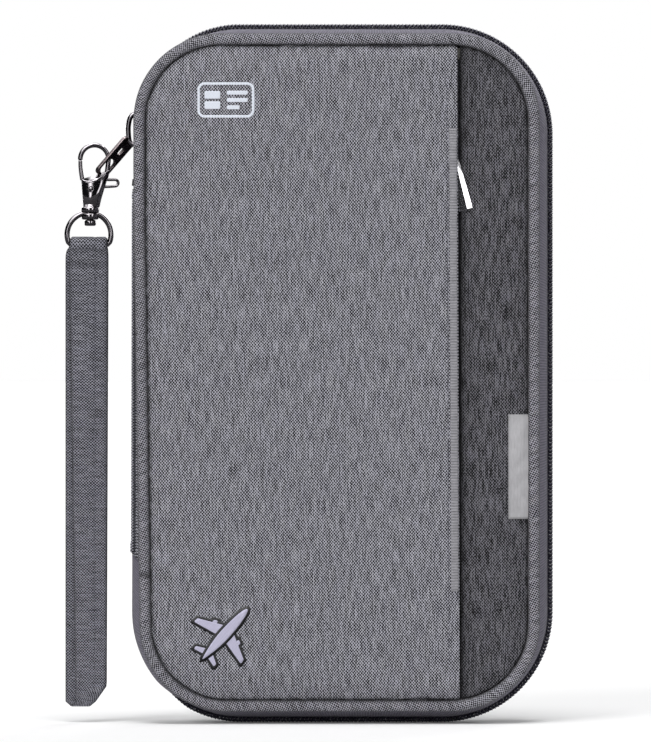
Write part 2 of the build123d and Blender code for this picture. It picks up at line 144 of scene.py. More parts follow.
def chain_outline(inset):
    """The zip chain's outline, moved inwards from its outer edge."""
    low, high = CHAIN_LOW.z + inset, CHAIN_HIGH.z - inset
    shift = inset / math.cos(LEAN)
    top_left = KNEE_X + (high - KNEE_Z) * math.tan(LEAN) + shift
    right = CHAIN_HIGH.x - inset
    corners = [(SPINE_LOW.x + inset, low), (right, low), (right, high), (top_left, high)]
    corners.append((KNEE_X + shift, KNEE_Z))
    radius = CHAIN_RADIUS - inset
    radii = [radius] * 3 + [CHAIN_TOP_LEFT_RADIUS - inset, KNEE_RADIUS]
    return rounded(corners, radii, OUTLINE_STEPS)


def left_part(points, low, high):
    """Indices, downwards, of the outline's stations on the left side between two heights."""
    on_left = points[:, 0] < LEFT_SIDE
    inside = on_left & (points[:, 1] > low) & (points[:, 1] < high)
    start = next(i for i in range(len(points)) if inside[i] and not inside[i - 1])
    count = int(inside.sum())
    return [(start + k) % len(points) for k in range(count)]


def around_part(points, low, high):
    """The other stations, counter-clockwise from below the stretch on the left to above it."""
    skipped = left_part(points, low, high)
    count = len(points) - len(skipped)
    return [(skipped[-1] + 1 + k) % len(points) for k in range(count)]


def lengths(points):
    """Distance along a line of points."""
    return np.concatenate([[0], np.cumsum(np.linalg.norm(np.diff(points, axis=0), axis=1))])


def even(points, step):
    """The open line again, with points one step apart."""
    along = lengths(points)
    at = np.linspace(0, along[-1], max(2, int(along[-1] / step) + 1))
    return np.stack([np.interp(at, along, points[:, k]) for k in range(points.shape[1])], axis=1)


def turns(count):
    """Angles once round a circle."""
    return [2 * math.pi * k / count for k in range(count)]


def directions(line, closed):
    """Unit steps along a line of points."""
    steps = np.roll(line, -1, 0) - np.roll(line, 1, 0)
    if not closed:
        steps[0], steps[-1] = line[1] - line[0], line[-1] - line[-2]
    return steps / np.linalg.norm(steps, axis=1)[:, None]


def to_space(flat, y):
    """XZ points as XYZ points at height y."""
    return np.column_stack([flat[:, 0], np.full(len(flat), y), flat[:, 1]])


# ---- meshes ----
def piece(name, points, faces, loop_uvs=None, smooth=True):
    """Mesh object; loop_uvs holds one (u, v) in metres for each corner of each face."""
    mesh = bpy.data.meshes.new(name)
    mesh.from_pydata([tuple(map(float, p)) for p in points], [], faces)
    if loop_uvs is not None:
        layer = mesh.uv_layers.new(name="cloth")
        layer.data.foreach_set("uv", np.array(loop_uvs, np.float32).ravel())
    mesh.polygons.foreach_set("use_smooth", [smooth] * len(mesh.polygons))
    made = bpy.data.objects.new(name, mesh)
    bpy.context.scene.collection.objects.link(made)
    return made


def grid_faces(rows, wide, wrap_rows=False, wrap_columns=False):
    """Quads of a grid, with each corner's own grid position for its UV."""
    faces, places = [], []
    for i in range(rows if wrap_rows else rows - 1):
        for j in range(wide if wrap_columns else wide - 1):
            corners = [(i, j), (i + 1, j), (i + 1, j + 1), (i, j + 1)]
            faces.append([(a % rows) * wide + b % wide for a, b in corners])
            places.extend(corners)
    return faces, places


def grid(name, points, wrap_rows=False, wrap_columns=False, caps=False):
    """Piece from a rows x columns x 3 array. The UVs run along the rows and across the columns."""
    rows, wide, _ = points.shape
    faces, places = grid_faces(rows, wide, wrap_rows, wrap_columns)
    along = lengths(np.concatenate([points[:, 0], points[:1, 0]]))
    across = lengths(np.concatenate([points[rows // 2], points[rows // 2, :1]]))
    loop_uvs = [(along[a], across[b]) for a, b in places]
    flat = points.reshape(-1, 3)
    if caps:
        for end in (list(range(wide))[::-1], [(rows - 1) * wide + j for j in range(wide)]):
            faces.append(end)
            loop_uvs.extend((flat[k][0], flat[k][2]) for k in end)
    return piece(name, flat, faces, loop_uvs)


def tube(name, line, radius, sides=8, closed=False, scale=None):
    """Round tube along points, with an optional radius scale for each point."""
    line = np.array(line, float)
    steps = directions(line, closed)
    side = np.cross(steps[0], [0.3, 0.9, 0.2])
    side /= np.linalg.norm(side)
    rings = []
    for k, (point, forward) in enumerate(zip(line, steps)):
        side = side - forward * (side @ forward)
        side /= np.linalg.norm(side)
        up = np.cross(forward, side)
        wide = radius * (1 if scale is None else scale[k])
        rings.append([point + wide * (math.cos(a) * side + math.sin(a) * up) for a in turns(sides)])
    return grid(name, np.array(rings), closed, True, caps=not closed)


def joined(name, parts):
    """One object from several."""
    bpy.ops.object.select_all(action="DESELECT")
    for part in parts:
        part.select_set(True)
    bpy.context.view_layer.objects.active = parts[0]
    bpy.ops.object.join()
    parts[0].name = name
    parts[0].data.name = name
    return parts[0]


def wobble(point, scale, seed):
    """Smooth noise from -1 to 1 at a point, with features of about scale."""
    return noise.noise(Vector(point) / scale + Vector((seed * 7.3, seed * 1.9, seed * 3.1)))


# ---- shader nodes ----
def add(tree, kind, inputs=(), output=0, **settings):
    """New node; inputs are values or other nodes' sockets."""
    made = tree.nodes.new(kind)
    for key, value in settings.items():
        setattr(made, key, value)
    for socket, value in dict(inputs).items():
        if isinstance(value, bpy.types.NodeSocket):
            tree.links.new(value, made.inputs[socket])
        else:
            made.inputs[socket].default_value = value
    return made.outputs[output]


def maths(tree, operation, *values):
    """Output of a maths node; the values are numbers or other nodes' outputs."""
    return add(tree, "ShaderNodeMath", dict(enumerate(values)), operation=operation)


def mixed(tree, share, first, second, blend="MIX"):
    """Colour output of a mix node."""
    inputs = {0: share, 6: first, 7: second}
    return add(tree, "ShaderNodeMix", inputs, 2, data_type="RGBA", blend_type=blend)


def colour(red, green, blue):
    """Linear colour from an sRGB one in 0..255."""
    def linear(c):
        c /= 255
        return c / 12.92 if c <= 0.04045 else ((c + 0.055) / 1.055) ** 2.4
    return (linear(red), linear(green), linear(blue), 1.0)


def surface(name, **sockets):
    """Material with a Principled shader; returns the material, its tree and its shader."""
    material = bpy.data.materials.new(name)
    material.use_nodes = True
    shader = material.node_tree.nodes["Principled BSDF"]
    for socket, value in sockets.items():
        shader.inputs[socket.replace("_", " ")].default_value = value
    return material, material.node_tree, shader


def cloth_position(tree):
    """The UV in metres, as (vector, u, v)."""
    vector = add(tree, "ShaderNodeUVMap", uv_map="cloth")
    split = tree.nodes.new("ShaderNodeSeparateXYZ")
    tree.links.new(vector, split.inputs[0])
    return vector, split.outputs[0], split.outputs[1]


def stretched_noise(tree, vector, size_u, size_v, detail=2.0):
    """Noise with features of size_u by size_v metres."""
    placed = add(tree, "ShaderNodeMapping", {0: vector, 3: (1 / size_u, 1 / size_v, 1.0)})
    return add(tree, "ShaderNodeTexNoise", {"Vector": placed, "Scale": 1.0, "Detail": detail})


def bumped(tree, shader, height, depth, strength=1.0):
    """Bump of that depth in metres on the shader's normal."""
    inputs = {"Height": height, "Distance": depth, "Strength": strength}
    tree.links.new(add(tree, "ShaderNodeBump", inputs), shader.inputs["Normal"])


def painted_crease_shade(tree, tone, depth=0.85):
    """Darkens a colour by the piece's own painted shade attribute for its seams, creases and edges, which is
    0 on open surfaces.
    """
    painted_shade = add(tree, "ShaderNodeAttribute", output=2, attribute_name="painted_shade")
    share = maths(tree, "MULTIPLY", painted_shade, depth)
    return mixed(tree, share, tone, (0.0, 0.0, 0.0, 1.0))


def clamped(tree, value):
    """The value, held between 0 and 1."""
    return add(tree, "ShaderNodeClamp", {0: value})


def crossings(tree, u, v, pitch, shift=0.0):
    """Height of a plain weave, from -1 to 1, as one thread passes over or under the other."""
    wave_u = maths(tree, "SINE", maths(tree, "MULTIPLY_ADD", u, math.pi / pitch[0], shift))
    wave_v = maths(tree, "SINE", maths(tree, "MULTIPLY_ADD", v, math.pi / pitch[1], shift))
    return maths(tree, "MULTIPLY", wave_u, wave_v)


def weighted(tree, terms):
    """Sum of noises from 0 to 1 with their weights, centred on 0."""
    (weight, value), *others = terms
    total = maths(tree, "MULTIPLY", value, weight)
    for weight, value in others:
        total = maths(tree, "MULTIPLY_ADD", value, weight, total)
    return maths(tree, "SUBTRACT", total, 0.5 * sum(weight for weight, _ in terms))


def toned(tint, by, plus=0.0):
    """A tint made darker or lighter."""
    return tuple(min(1.0, c * by + plus) for c in tint[:3]) + (1.0,)


SLUB = (0.42 * MM, 6.0 * MM)  # width and length of a thicker or paler stretch of thread


def woven(name, light, dark, pitch=WEAVE, heather=0.35, rough=0.85, contrast=2.3):
    """Plain weave: light thread crossings on dark gaps, with uneven threads and a slow drift of tone."""
    material, tree, shader = surface(name, Roughness=rough, Sheen_Weight=0.08, Sheen_Roughness=0.5)
    shader.inputs["Specular IOR Level"].default_value = 0.2
    vector, u, v = cloth_position(tree)
    drift = maths(tree, "SUBTRACT", stretched_noise(tree, vector, 6 * MM, 6 * MM), 0.5)
    jitter = maths(tree, "SUBTRACT", stretched_noise(tree, vector, 1.3 * MM, 1.3 * MM, 1.0), 0.5)
    shift = maths(tree, "MULTIPLY_ADD", drift, 2.6, maths(tree, "MULTIPLY", jitter, 1.5))
    crossing = crossings(tree, u, v, pitch, shift)
    uneven = weighted(tree, [
        (0.6, stretched_noise(tree, vector, SLUB[1], SLUB[0])),  # weft threads
        (3.3, stretched_noise(tree, vector, SLUB[0], SLUB[1])),  # warp threads
        (2.0, stretched_noise(tree, vector, pitch[0] * 1.3, pitch[1] * 1.3, 1.0)),  # single crossings
        (1.1, stretched_noise(tree, vector, 1.6 * MM, 9 * MM)),  # groups of warp threads
    ])
    shade = maths(tree, "MULTIPLY_ADD", crossing, contrast, 0.35)
    shade = maths(tree, "MULTIPLY_ADD", uneven, heather * 2, shade)
    tone = mixed(tree, clamped(tree, shade), dark, light)
    cool = maths(tree, "MULTIPLY", stretched_noise(tree, vector, 3 * MM, 6 * MM, 1.0), 0.6)
    tone = mixed(tree, cool, tone, (0.94, 0.935, 1.10, 1.0), "MULTIPLY")
    # painted shade from the piece's attribute darkens the weave in seams, creases and along edges
    tree.links.new(painted_crease_shade(tree, tone), shader.inputs["Base Color"])
    bumped(tree, shader, crossing, 0.05 * MM, 0.5)
    return material


def ribbed(name, light, dark, rib=0.95 * MM, rough=0.8):
    """Woven tape with ribs across its length."""
    material, tree, shader = surface(name, Roughness=rough, Sheen_Weight=0.1)
    shader.inputs["Specular IOR Level"].default_value = 0.25
    vector, u, v = cloth_position(tree)
    wave = maths(tree, "SINE", maths(tree, "MULTIPLY", u, 2 * math.pi / rib))
    fine = maths(tree, "SINE", maths(tree, "MULTIPLY", v, 2 * math.pi / (0.45 * MM)))
    ribs = maths(tree, "MULTIPLY_ADD", wave, 0.35, maths(tree, "MULTIPLY", fine, 0.12))
    grain = maths(tree, "MULTIPLY", stretched_noise(tree, vector, 0.5 * MM, 2.5 * MM), 0.8)
    shade = maths(tree, "ADD", maths(tree, "MULTIPLY_ADD", ribs, 0.6, 0.15), grain)
    # painted shade from the piece's attribute darkens the tape in seams, creases and along edges
    tone = painted_crease_shade(tree, mixed(tree, clamped(tree, shade), dark, light))
    tree.links.new(tone, shader.inputs["Base Color"])
    bumped(tree, shader, ribs, 0.08 * MM, 0.8)
    return material


def grain_of(tree, scale, detail, squeeze=1.0):
    """Noise in the piece's own space, drawn out along Z where squeeze is under 1."""
    place = add(tree, "ShaderNodeTexCoord", output=3)
    place = add(tree, "ShaderNodeMapping", {0: place, 3: (1.0, 1.0, squeeze)})
    return add(tree, "ShaderNodeTexNoise", {"Vector": place, "Scale": scale, "Detail": detail})


def metal(name, tint, rough, wear=0.3):
    """Polished plating with faint scratches and duller patches."""
    material, tree, shader = surface(name, Metallic=1.0)
    patches = grain_of(tree, 350.0, 4.0)
    level = maths(tree, "MULTIPLY_ADD", patches, rough, rough * 0.5)
    tree.links.new(level, shader.inputs["Roughness"])
    worn = mixed(tree, maths(tree, "MULTIPLY", patches, wear), tint, toned(tint, 1.5))
    tree.links.new(worn, shader.inputs["Base Color"])
    bumped(tree, shader, grain_of(tree, 2500.0, 2.0, 0.06), 0.004 * MM, 0.06)
    return material


def moulded(name, tint, rough=0.4):
    """Nylon or moulded plastic with a faint mottled skin."""
    material, tree, shader = surface(name)
    spots = grain_of(tree, 1500.0, 3.0)
    tree.links.new(maths(tree, "MULTIPLY_ADD", spots, 0.3, rough - 0.15), shader.inputs["Roughness"])
    tree.links.new(mixed(tree, spots, tint, toned(tint, 1.8, 0.01)), shader.inputs["Base Color"])
    bumped(tree, shader, spots, 0.02 * MM, 0.3)
    return material


def ink(name, tint):
    """Screen-print ink that shows the weave under it."""
    material, tree, shader = surface(name, Roughness=0.55)
    vector, u, v = cloth_position(tree)
    crossing = crossings(tree, u, v, WEAVE)
    blotch = maths(tree, "MULTIPLY", stretched_noise(tree, vector, 2 * MM, 2 * MM), 0.3)
    share = clamped(tree, maths(tree, "MULTIPLY_ADD", crossing, 0.12, blotch))
    tree.links.new(mixed(tree, share, tint, toned(tint, 0.72)), shader.inputs["Base Color"])
    bumped(tree, shader, crossing, 0.03 * MM, 0.5)
    return material


LIGHT_FABRIC = woven("light_fabric", colour(176, 176, 181), colour(3, 3, 6), heather=0.5)
DARK_FABRIC = woven("dark_fabric", colour(116, 115, 119), colour(6, 6, 8), heather=0.6, contrast=1.3)
PIPING_FABRIC = woven("piping_fabric", colour(166, 165, 170), colour(5, 5, 8), heather=0.5)
STRAP_FABRIC = woven("strap_fabric", colour(150, 150, 157), colour(6, 6, 9), heather=0.4)
FINE = (0.24 * MM, 0.24 * MM)
LINING = woven("lining_fabric", colour(96, 96, 104), colour(52, 52, 58), FINE, 0.2, 0.6, 0.5)
POCKET_CLOTH = woven("pocket_fabric", colour(116, 116, 124), colour(64, 64, 71), FINE, 0.2, 0.6, 0.5)
ZIP_TAPE = ribbed("zip_tape", colour(124, 121, 134), colour(52, 50, 60))
HIDDEN_TAPE = ribbed("hidden_zip_tape", colour(62, 61, 68), colour(26, 25, 30))
EDGE_TRIM = ribbed("edge_trim", colour(170, 169, 174), colour(80, 79, 84))
ELASTIC = ribbed("elastic", colour(58, 58, 62), colour(22, 22, 25), 0.7 * MM)
LABEL_CLOTH = ribbed("label_satin", colour(188, 187, 190), colour(160, 159, 162), 0.5 * MM, 0.5)
COIL_NYLON = moulded("coil_nylon", colour(34, 32, 46), 0.38)
BOARD = moulded("stiffener", colour(120, 118, 112), 0.6)
THREAD = woven("thread", colour(128, 128, 136), colour(50, 50, 56), (0.15 * MM, 0.15 * MM), 0.2)
GUNMETAL = metal("gunmetal", colour(118, 115, 118), 0.1)
TAB_METAL = metal("tab_metal", colour(104, 96, 97), 0.22)
NICKEL = metal("nickel", colour(188, 187, 190), 0.1)
INK_LILAC = ink("ink_lilac", colour(186, 183, 206))
INK_WHITE = ink("ink_white", colour(222, 227, 238))
INK_BLACK = ink("ink_black", colour(5, 5, 10))


def store_painted_shade(made, values):
    """Stores each vertex's painted shade, from 0 to 1, where it lies in a seam or crease or along an edge."""
    layer = made.data.attributes.new("painted_shade", "FLOAT", "POINT")
    layer.data.foreach_set("value", np.clip(np.array(values, np.float32).ravel(), 0, 1))
    return made


def turned_out(made):
    """Makes all faces of a closed piece look outwards."""
    shell = bmesh.new()
    shell.from_mesh(made.data)
    if all(edge.is_manifold for edge in shell.edges):
        bmesh.ops.recalc_face_normals(shell, faces=shell.faces)
        if shell.calc_volume(signed=True) < 0:
            bmesh.ops.reverse_faces(shell, faces=shell.faces)
        shell.to_mesh(made.data)
    shell.free()


def dressed(made, material, body, replaces=()):
    """Gives a piece its material and body and hides the CAD nodes it stands for; a bending piece has no body.
    """
    turned_out(made)
    made.data.materials.clear()
    made.data.materials.append(material)
    if body:
        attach(made, body)
    if replaces:
        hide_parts(*replaces)
    return made


STITCH_SIDES = 5
STITCH_SHAPE = ((-1, 0.35), (-0.72, 1.0), (0.72, 1.0), (1, 0.35))  # places along a stitch, and widths there


def stitch(start, goal, long, thick):
    """Points of one stitch in the middle between two needle holes, ring by ring."""
    step = goal - start
    far = np.linalg.norm(step)
    forward = step / far
    side = np.cross(forward, [0.2, 1.0, 0.1])
    side /= np.linalg.norm(side)
    up = np.cross(forward, side)
    points = []
    for place, wide in STITCH_SHAPE:
        middle = start + step * (0.5 + place * long / far / 2)
        for a in turns(STITCH_SIDES):
            points.append(middle + thick * wide * (math.cos(a) * side + math.sin(a) * up))
    return points


def stitches(name, lines, body, pitch=2.6 * MM, long=1.9 * MM, thick=0.17 * MM):
    """Rows of thread stitches along lines that already lie on the fabric."""
    rows, sides = len(STITCH_SHAPE), STITCH_SIDES
    one = grid_faces(rows, sides, False, True)[0]
    one += [list(range(sides)), list(range((rows - 1) * sides, rows * sides))[::-1]]
    points, faces = [], []
    for line in lines:
        spots = even(np.array(line, float), pitch)
        for start, goal in zip(spots[:-1], spots[1:]):
            faces += [[len(points) + k for k in face] for face in one]
            points += stitch(start, goal, long, thick)
    uvs = [(points[k][0] + points[k][1], points[k][2]) for face in faces for k in face]
    return dressed(piece(name, points, faces, uvs), THREAD, body)


# ---- flat shapes: rows of points between a left and a right edge ----
def edge_rows(low, high, corner, step):
    """Heights of the rows, closer together in the rounded corners."""
    turn = [corner * (1 - math.cos(math.radians(a))) for a in range(0, 90, 5)]
    middle = np.linspace(low + corner, high - corner, max(2, round((high - low - 2 * corner) / step)))
    return np.array([low + t for t in turn] + list(middle) + [high - t for t in reversed(turn)])


def width_shares(count, sharp=0.85):
    """Shares of a row's width from 0 to 1, closer together near both ends."""
    plain = np.linspace(0, 1, count)
    return (1 - sharp) * plain + sharp * (1 - np.cos(math.pi * plain)) / 2


def outline_sides(outline):
    """Left and right edge of an outline as (heights, x) pairs for interpolation."""
    points = outline[0]
    middle = (points[:, 0].min() + points[:, 0].max()) / 2
    sides = []
    for part in (points[points[:, 0] < middle], points[points[:, 0] >= middle]):
        order = np.argsort(part[:, 1])
        sides.append((part[order, 1], part[order, 0]))
    return sides


def cover_rows(inset, step, left=None, right=None, count=60):
    """Rows x columns of XZ points inside a cover's outline, cut at optional left and right lines."""
    outline = cover_outline(inset)
    low, high = outline[0][:, 1].min(), outline[0][:, 1].max()
    heights = edge_rows(low, high, COVER_RADIUS - inset, step)
    (left_z, left_x), (right_z, right_x) = outline_sides(outline)
    shares = width_shares(count)
    rows = []
    for z in heights:
        x0 = np.interp(z, left_z, left_x) if left is None else left(z)
        x1 = np.interp(z, right_z, right_x) if right is None else right(z)
        rows.append(np.column_stack([x0 + (x1 - x0) * shares, np.full(count, z)]))
    return np.array(rows)


def distance_to(points, line):
    """Distance of each XZ point in a rows x columns array to the nearest point of a line."""
    flat = points.reshape(-1, 2)
    best = np.full(len(flat), 1.0)
    for start in range(0, len(line), 64):
        part = line[start : start + 64]
        gap = np.linalg.norm(flat[:, None] - part[None], axis=2).min(axis=1)
        best = np.minimum(best, gap)
    return best.reshape(points.shape[:2])


def lifted(rows, y):
    """XZ rows with their own heights along Y."""
    return np.dstack([rows[:, :, 0], y, rows[:, :, 1]])


CLOTH_FRAMES = 18
CLOTH_SIDEWAYS = 0.2 * MM  # the most that a point moves within the panel's plane


def cloth_modifier(cloth, shrink, push):
    """Cloth pinned by the group named seam, under pressure and without gravity."""
    modifier = cloth.modifiers.new("Cloth", "CLOTH")
    settings = modifier.settings
    settings.vertex_group_mass = "seam"
    settings.quality = 6
    settings.mass = 0.12
    settings.tension_stiffness = settings.compression_stiffness = 12
    settings.bending_stiffness = 0.12
    settings.shrink_min = -shrink
    settings.use_pressure = True
    settings.uniform_pressure_force = push
    settings.effector_weights.gravity = 0


def rippled(points, pinned, cap, shrink, push):
    """Cloth simulation of an open sheet of fabric pinned at its seams; moves are capped, mostly along Y."""
    rows, wide, _ = points.shape
    cloth = piece("cloth_cut", points.reshape(-1, 3), grid_faces(rows, wide)[0])
    group = cloth.vertex_groups.new(name="seam")
    group.add([int(i) for i in np.flatnonzero(pinned.ravel())], 1.0, "REPLACE")
    cloth_modifier(cloth, shrink, push)
    scene = bpy.context.scene
    for number in range(1, CLOTH_FRAMES + 1):
        scene.frame_set(number)
    shown = cloth.evaluated_get(bpy.context.evaluated_depsgraph_get())
    after = np.zeros(rows * wide * 3)
    shown.data.vertices.foreach_get("co", after)
    scene.frame_set(1)
    bpy.data.objects.remove(cloth)
    most = np.array([CLOTH_SIDEWAYS, cap, CLOTH_SIDEWAYS])
    return points + np.clip(after.reshape(points.shape) - points, -most, most)


def slab_from(name, front, thickness, side):
    """Closed sheet: the front grid, and a copy of it set back towards the middle of the wallet."""
    rows, wide, _ = front.shape
    back = front - np.array([0, side * thickness, 0])
    faces = grid_faces(rows, wide)[0]
    total = rows * wide
    other = [[k + total for k in face[::-1]] for face in faces]
    rim = [i * wide for i in range(rows)] + [(rows - 1) * wide + j for j in range(1, wide)]
    rim += [i * wide + wide - 1 for i in range(rows - 2, -1, -1)] + list(range(wide - 2, 0, -1))
    sides = [[here, here + total, there + total, there] for here, there in zip(rim, rim[1:] + rim[:1])]
    every = faces + other + sides
    points = np.concatenate([front.reshape(-1, 3), back.reshape(-1, 3)])
    loop_uvs = [(points[k][0], points[k][2]) for face in every for k in face]
    return piece(name, points, every, loop_uvs)


# ---- padded panels ----
FLAP_EDGE = (42.6 * MM, 41.7 * MM)  # the free edge's X at the bottom and at the top
FLAP_THICKNESS = 0.85 * MM
PANEL_LOW, PANEL_HIGH = PIPING_LOW.z + SEAM_INSET, PIPING_HIGH.z - SEAM_INSET


def flap_edge(z):
    """X of the pocket panel's free edge."""
    share = (z - PANEL_LOW) / (PANEL_HIGH - PANEL_LOW)
    return FLAP_EDGE[0] + (FLAP_EDGE[1] - FLAP_EDGE[0]) * share


def crown(distance, sewn, full, roll):
    """Height of padded fabric that rises from its sewn edge."""
    near = 1 - np.exp(-((distance / roll) ** 1.25))
    far = 1 - np.exp(-distance / (22 * MM))
    return sewn + (full - sewn) * (0.9 * near + 0.1 * far)


SEAM_SHADE_WIDTH = 0.62 * MM  # width of the painted shade line where a panel meets its piping
PIN_REACH = (0.6 * MM, 0.3 * MM)  # pinned distance from the seam and from a free or hemmed edge


def padded_piece(name, rows, seam_line, sewn, full, side, thickness, roll=1.7 * MM, cap=0.5 * MM, edge=None,
                 edge_shadow=0.0):
    """Padded panel: crowned from its seams, rippled by simulation and closed behind; its edge dips. Painted
    shade darkens it along its seams and, by edge_shadow, along its edge.
    """
    distance = distance_to(rows, seam_line)
    pinned = distance < PIN_REACH[0]
    y = crown(distance, sewn, full, roll)
    # painted shade: a dark line along the seam and a faint wider one beside it
    dark = 1.5 * np.exp(-((distance / SEAM_SHADE_WIDTH) ** 2)) + 0.12 * np.exp(-distance / (3 * MM))
    if edge:
        from_edge, reach, depth = edge
        y = y - side * depth * np.clip(1 - from_edge / reach, 0, 1) ** 2
        pinned = pinned | (from_edge < PIN_REACH[1])
        # painted shadow along the free or hemmed edge
        dark = dark + edge_shadow * np.exp(-from_edge / reach)
    front = rippled(lifted(rows, y), pinned, cap, 0.006, 1.2 * side)
    limit = full + side * 0.2 * MM
    front[:, :, 1] = side * np.minimum(side * front[:, :, 1], side * limit)
    made = slab_from(name, front, thickness, side)
    store_painted_shade(made, np.tile(dark.ravel(), 2))
    return made, front


def seam_line_of(keep):
    """The kept part of the line along which a cover's panels are sewn."""
    return np.array([p for p in cover_outline(SEAM_INSET)[0] if keep(p)])


def pocket_panel():
    """Light outer panel with a free right edge over the hidden pocket."""
    rows = cover_rows(SEAM_INSET, 2.2 * MM, right=flap_edge, count=72)
    seam = seam_line_of(lambda p: p[0] < flap_edge(p[1]) + 1 * MM)
    free = np.abs(rows[:, :, 0] - flap_edge(rows[:, :, 1]))
    made, front = padded_piece("pocket_panel_fabric", rows, seam, -11.2 * MM, -14.25 * MM, FRONT,
                               FLAP_THICKNESS, edge=(free, 0.5 * MM, 0.35 * MM))
    dressed(made, LIGHT_FABRIC, "front_cover", ["pocket_panel"])
    return front


def flap_stitches(tree):
    """Row of stitches beside the pocket panel's free edge."""
    heights = np.arange(21 * MM, 221 * MM, 2.2 * MM)
    line = [on_surface(tree, flap_edge(z) - 3.7 * MM, z, 0.06 * MM) for z in heights]
    stitches("flap_stitches", [line], "front_cover", 2.2 * MM, 1.5 * MM, 0.13 * MM)


def pocket_backing():
    """Padded layer under the pocket panel."""
    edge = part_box("pocket_backing")[1].x
    rows = cover_rows(SEAM_INSET, 5 * MM, right=lambda z: edge, count=30)
    seam = seam_line_of(lambda p: p[0] < edge)
    y = crown(distance_to(rows, seam), -10.4 * MM, -12.3 * MM, 2.0 * MM)
    made = slab_from("pocket_backing_fabric", lifted(rows, y), 1.6 * MM, FRONT)
    dressed(made, LIGHT_FABRIC, "front_cover", ["pocket_backing"])


def side_panel():
    """Dark padded panel right of the hidden pocket's zip."""
    edge = 42.75 * MM
    rows = cover_rows(SEAM_INSET, 2.2 * MM, left=lambda z: edge, count=26)
    seam = seam_line_of(lambda p: p[0] > edge)
    hem = np.abs(rows[:, :, 0] - edge)
    # the edge_shadow of 1.0 paints shadow along the hem beside the flap's edge
    made, front = padded_piece("side_panel_fabric", rows, seam, -11.0 * MM, -12.5 * MM, FRONT, 1.4 * MM,
                               1.6 * MM, 0.35 * MM, (hem, 1.8 * MM, 0.5 * MM), 1.0)
    dressed(made, DARK_FABRIC, "front_cover", ["side_panel"])
    return front


def back_panel():
    """Plain padded panel on the back."""
    rows = cover_rows(SEAM_INSET, 2.6 * MM, count=60)
    seam = cover_outline(SEAM_INSET)[0]
    made, _ = padded_piece("back_panel_fabric", rows, seam, 10.9 * MM, 13.15 * MM, BACK, 1.0 * MM)
    dressed(made, LIGHT_FABRIC, "back_cover", ["back_panel"])


def tree_of(front):
    """Ray target of a panel's front grid."""
    rows, wide, _ = front.shape
    return BVHTree.FromPolygons([Vector(p) for p in front.reshape(-1, 3)], grid_faces(rows, wide)[0])


def on_surface(tree, x, z, lift):
    """Point on a front panel, lifted off it towards the viewer."""
    hit = tree.ray_cast(Vector((x, -0.1, z)), Vector((0, 1, 0)))[0]
    return np.array([x, (hit.y if hit else -12.5 * MM) - lift, z])


# ---- piping, seam binding and boards ----
JOIN_Z = 51 * MM  # where a piping's two ends overlap, on the left


def piping_width(point, along, side):
    """Share of the piping's radius at a station, with puckers, and a groove at its join."""
    pucker = 0.012 * math.sin(along / (2.1 * MM)) + 0.03 * wobble((point[0], side, point[1]), 9 * MM, 2)
    from_join = (point[1] - JOIN_Z) / MM
    if point[0] > LEFT_SIDE or from_join > 20:
        return 1 + pucker
    groove = 0.16 * math.exp(-((from_join / 0.35) ** 2)) - 0.05 * math.exp(-abs(from_join + 0.9) / 1.2)
    return 1 + pucker - groove


def piping_shade(points, angles):
    """Painted shade along both flanks of the piping and in the groove at its join."""
    inner = 0.95 * np.clip(-np.cos(angles) - 0.62, 0, 1) / 0.38
    outer = 0.8 * np.clip(np.cos(angles) - 0.7, 0, 1) / 0.3
    in_join = np.exp(-(((points[:, 1] - JOIN_Z) / (0.35 * MM)) ** 2)) * (points[:, 0] < LEFT_SIDE)
    return np.maximum((inner + outer)[None, :], in_join[:, None])


def piping(side, word):
    """Fabric-covered cord round a cover, with its weave on the slant and its join on the left."""
    points, normals = cover_outline(PIPING_RADIUS)
    angles = np.array(turns(18))
    rings = []
    for point, normal, along in zip(points, normals, lengths(points)):
        wide = PIPING_RADIUS * piping_width(point, along, side)
        flat = point + normal * (np.cos(angles) * wide)[:, None]
        rings.append(np.column_stack([flat[:, 0], side * PIPING_Y - np.sin(angles) * wide, flat[:, 1]]))
    made = grid(f"piping_{word}", np.array(rings), True, True)
    store_painted_shade(made, piping_shade(points, angles))
    for corner in made.data.uv_layers["cloth"].data:
        u, v = corner.uv
        corner.uv = (0.94 * u + 0.34 * v, 0.94 * v - 0.34 * u)
    dressed(made, PIPING_FABRIC, COVER[side], [f"{word}_piping"])


BINDING_SECTION = ((2.5, 8.9), (2.6, 8.15), (3.4, 7.95), (4.4, 7.95),
                   (5.2, 8.15), (5.3, 8.6), (5.2, 9.0), (2.6, 9.1))


def seam_binding(side, word):
    """Folded tape over the raw seam inside a cover; its section is (inset, depth) in millimetres."""
    rails = [to_space(cover_outline(inset * MM)[0], side * depth * MM) for inset, depth in BINDING_SECTION]
    made = grid(f"binding_{word}", np.stack(rails, axis=1), True, True)
    dressed(made, ELASTIC, COVER[side], [f"{word}_seam_binding"])


# ---- zip chain ----
SINK_DEPTH = 1.3 * MM
SINK_TOP = 90 * MM
TAPE_SHARES = np.array([*np.linspace(0, 1, 13), 1.1, 1.3])  # those over 1 lie under the coil
TAPE_THICKNESS = 0.6 * MM


def sunk(points):
    """Share, from 0 to 1, by which the chain is sunk between its tapes: only at the lower left corner."""
    near_spine = np.clip((-50 * MM - points[:, 0]) / (10 * MM), 0, 1)
    return near_spine * (points[:, 1] < SINK_TOP)


def shifted(outline, stations, depth):
    """Stations of an outline moved inwards where the chain is sunk, and their normals."""
    points, normals = (part[stations] for part in outline)
    return points - normals * (depth * sunk(points))[:, None], normals


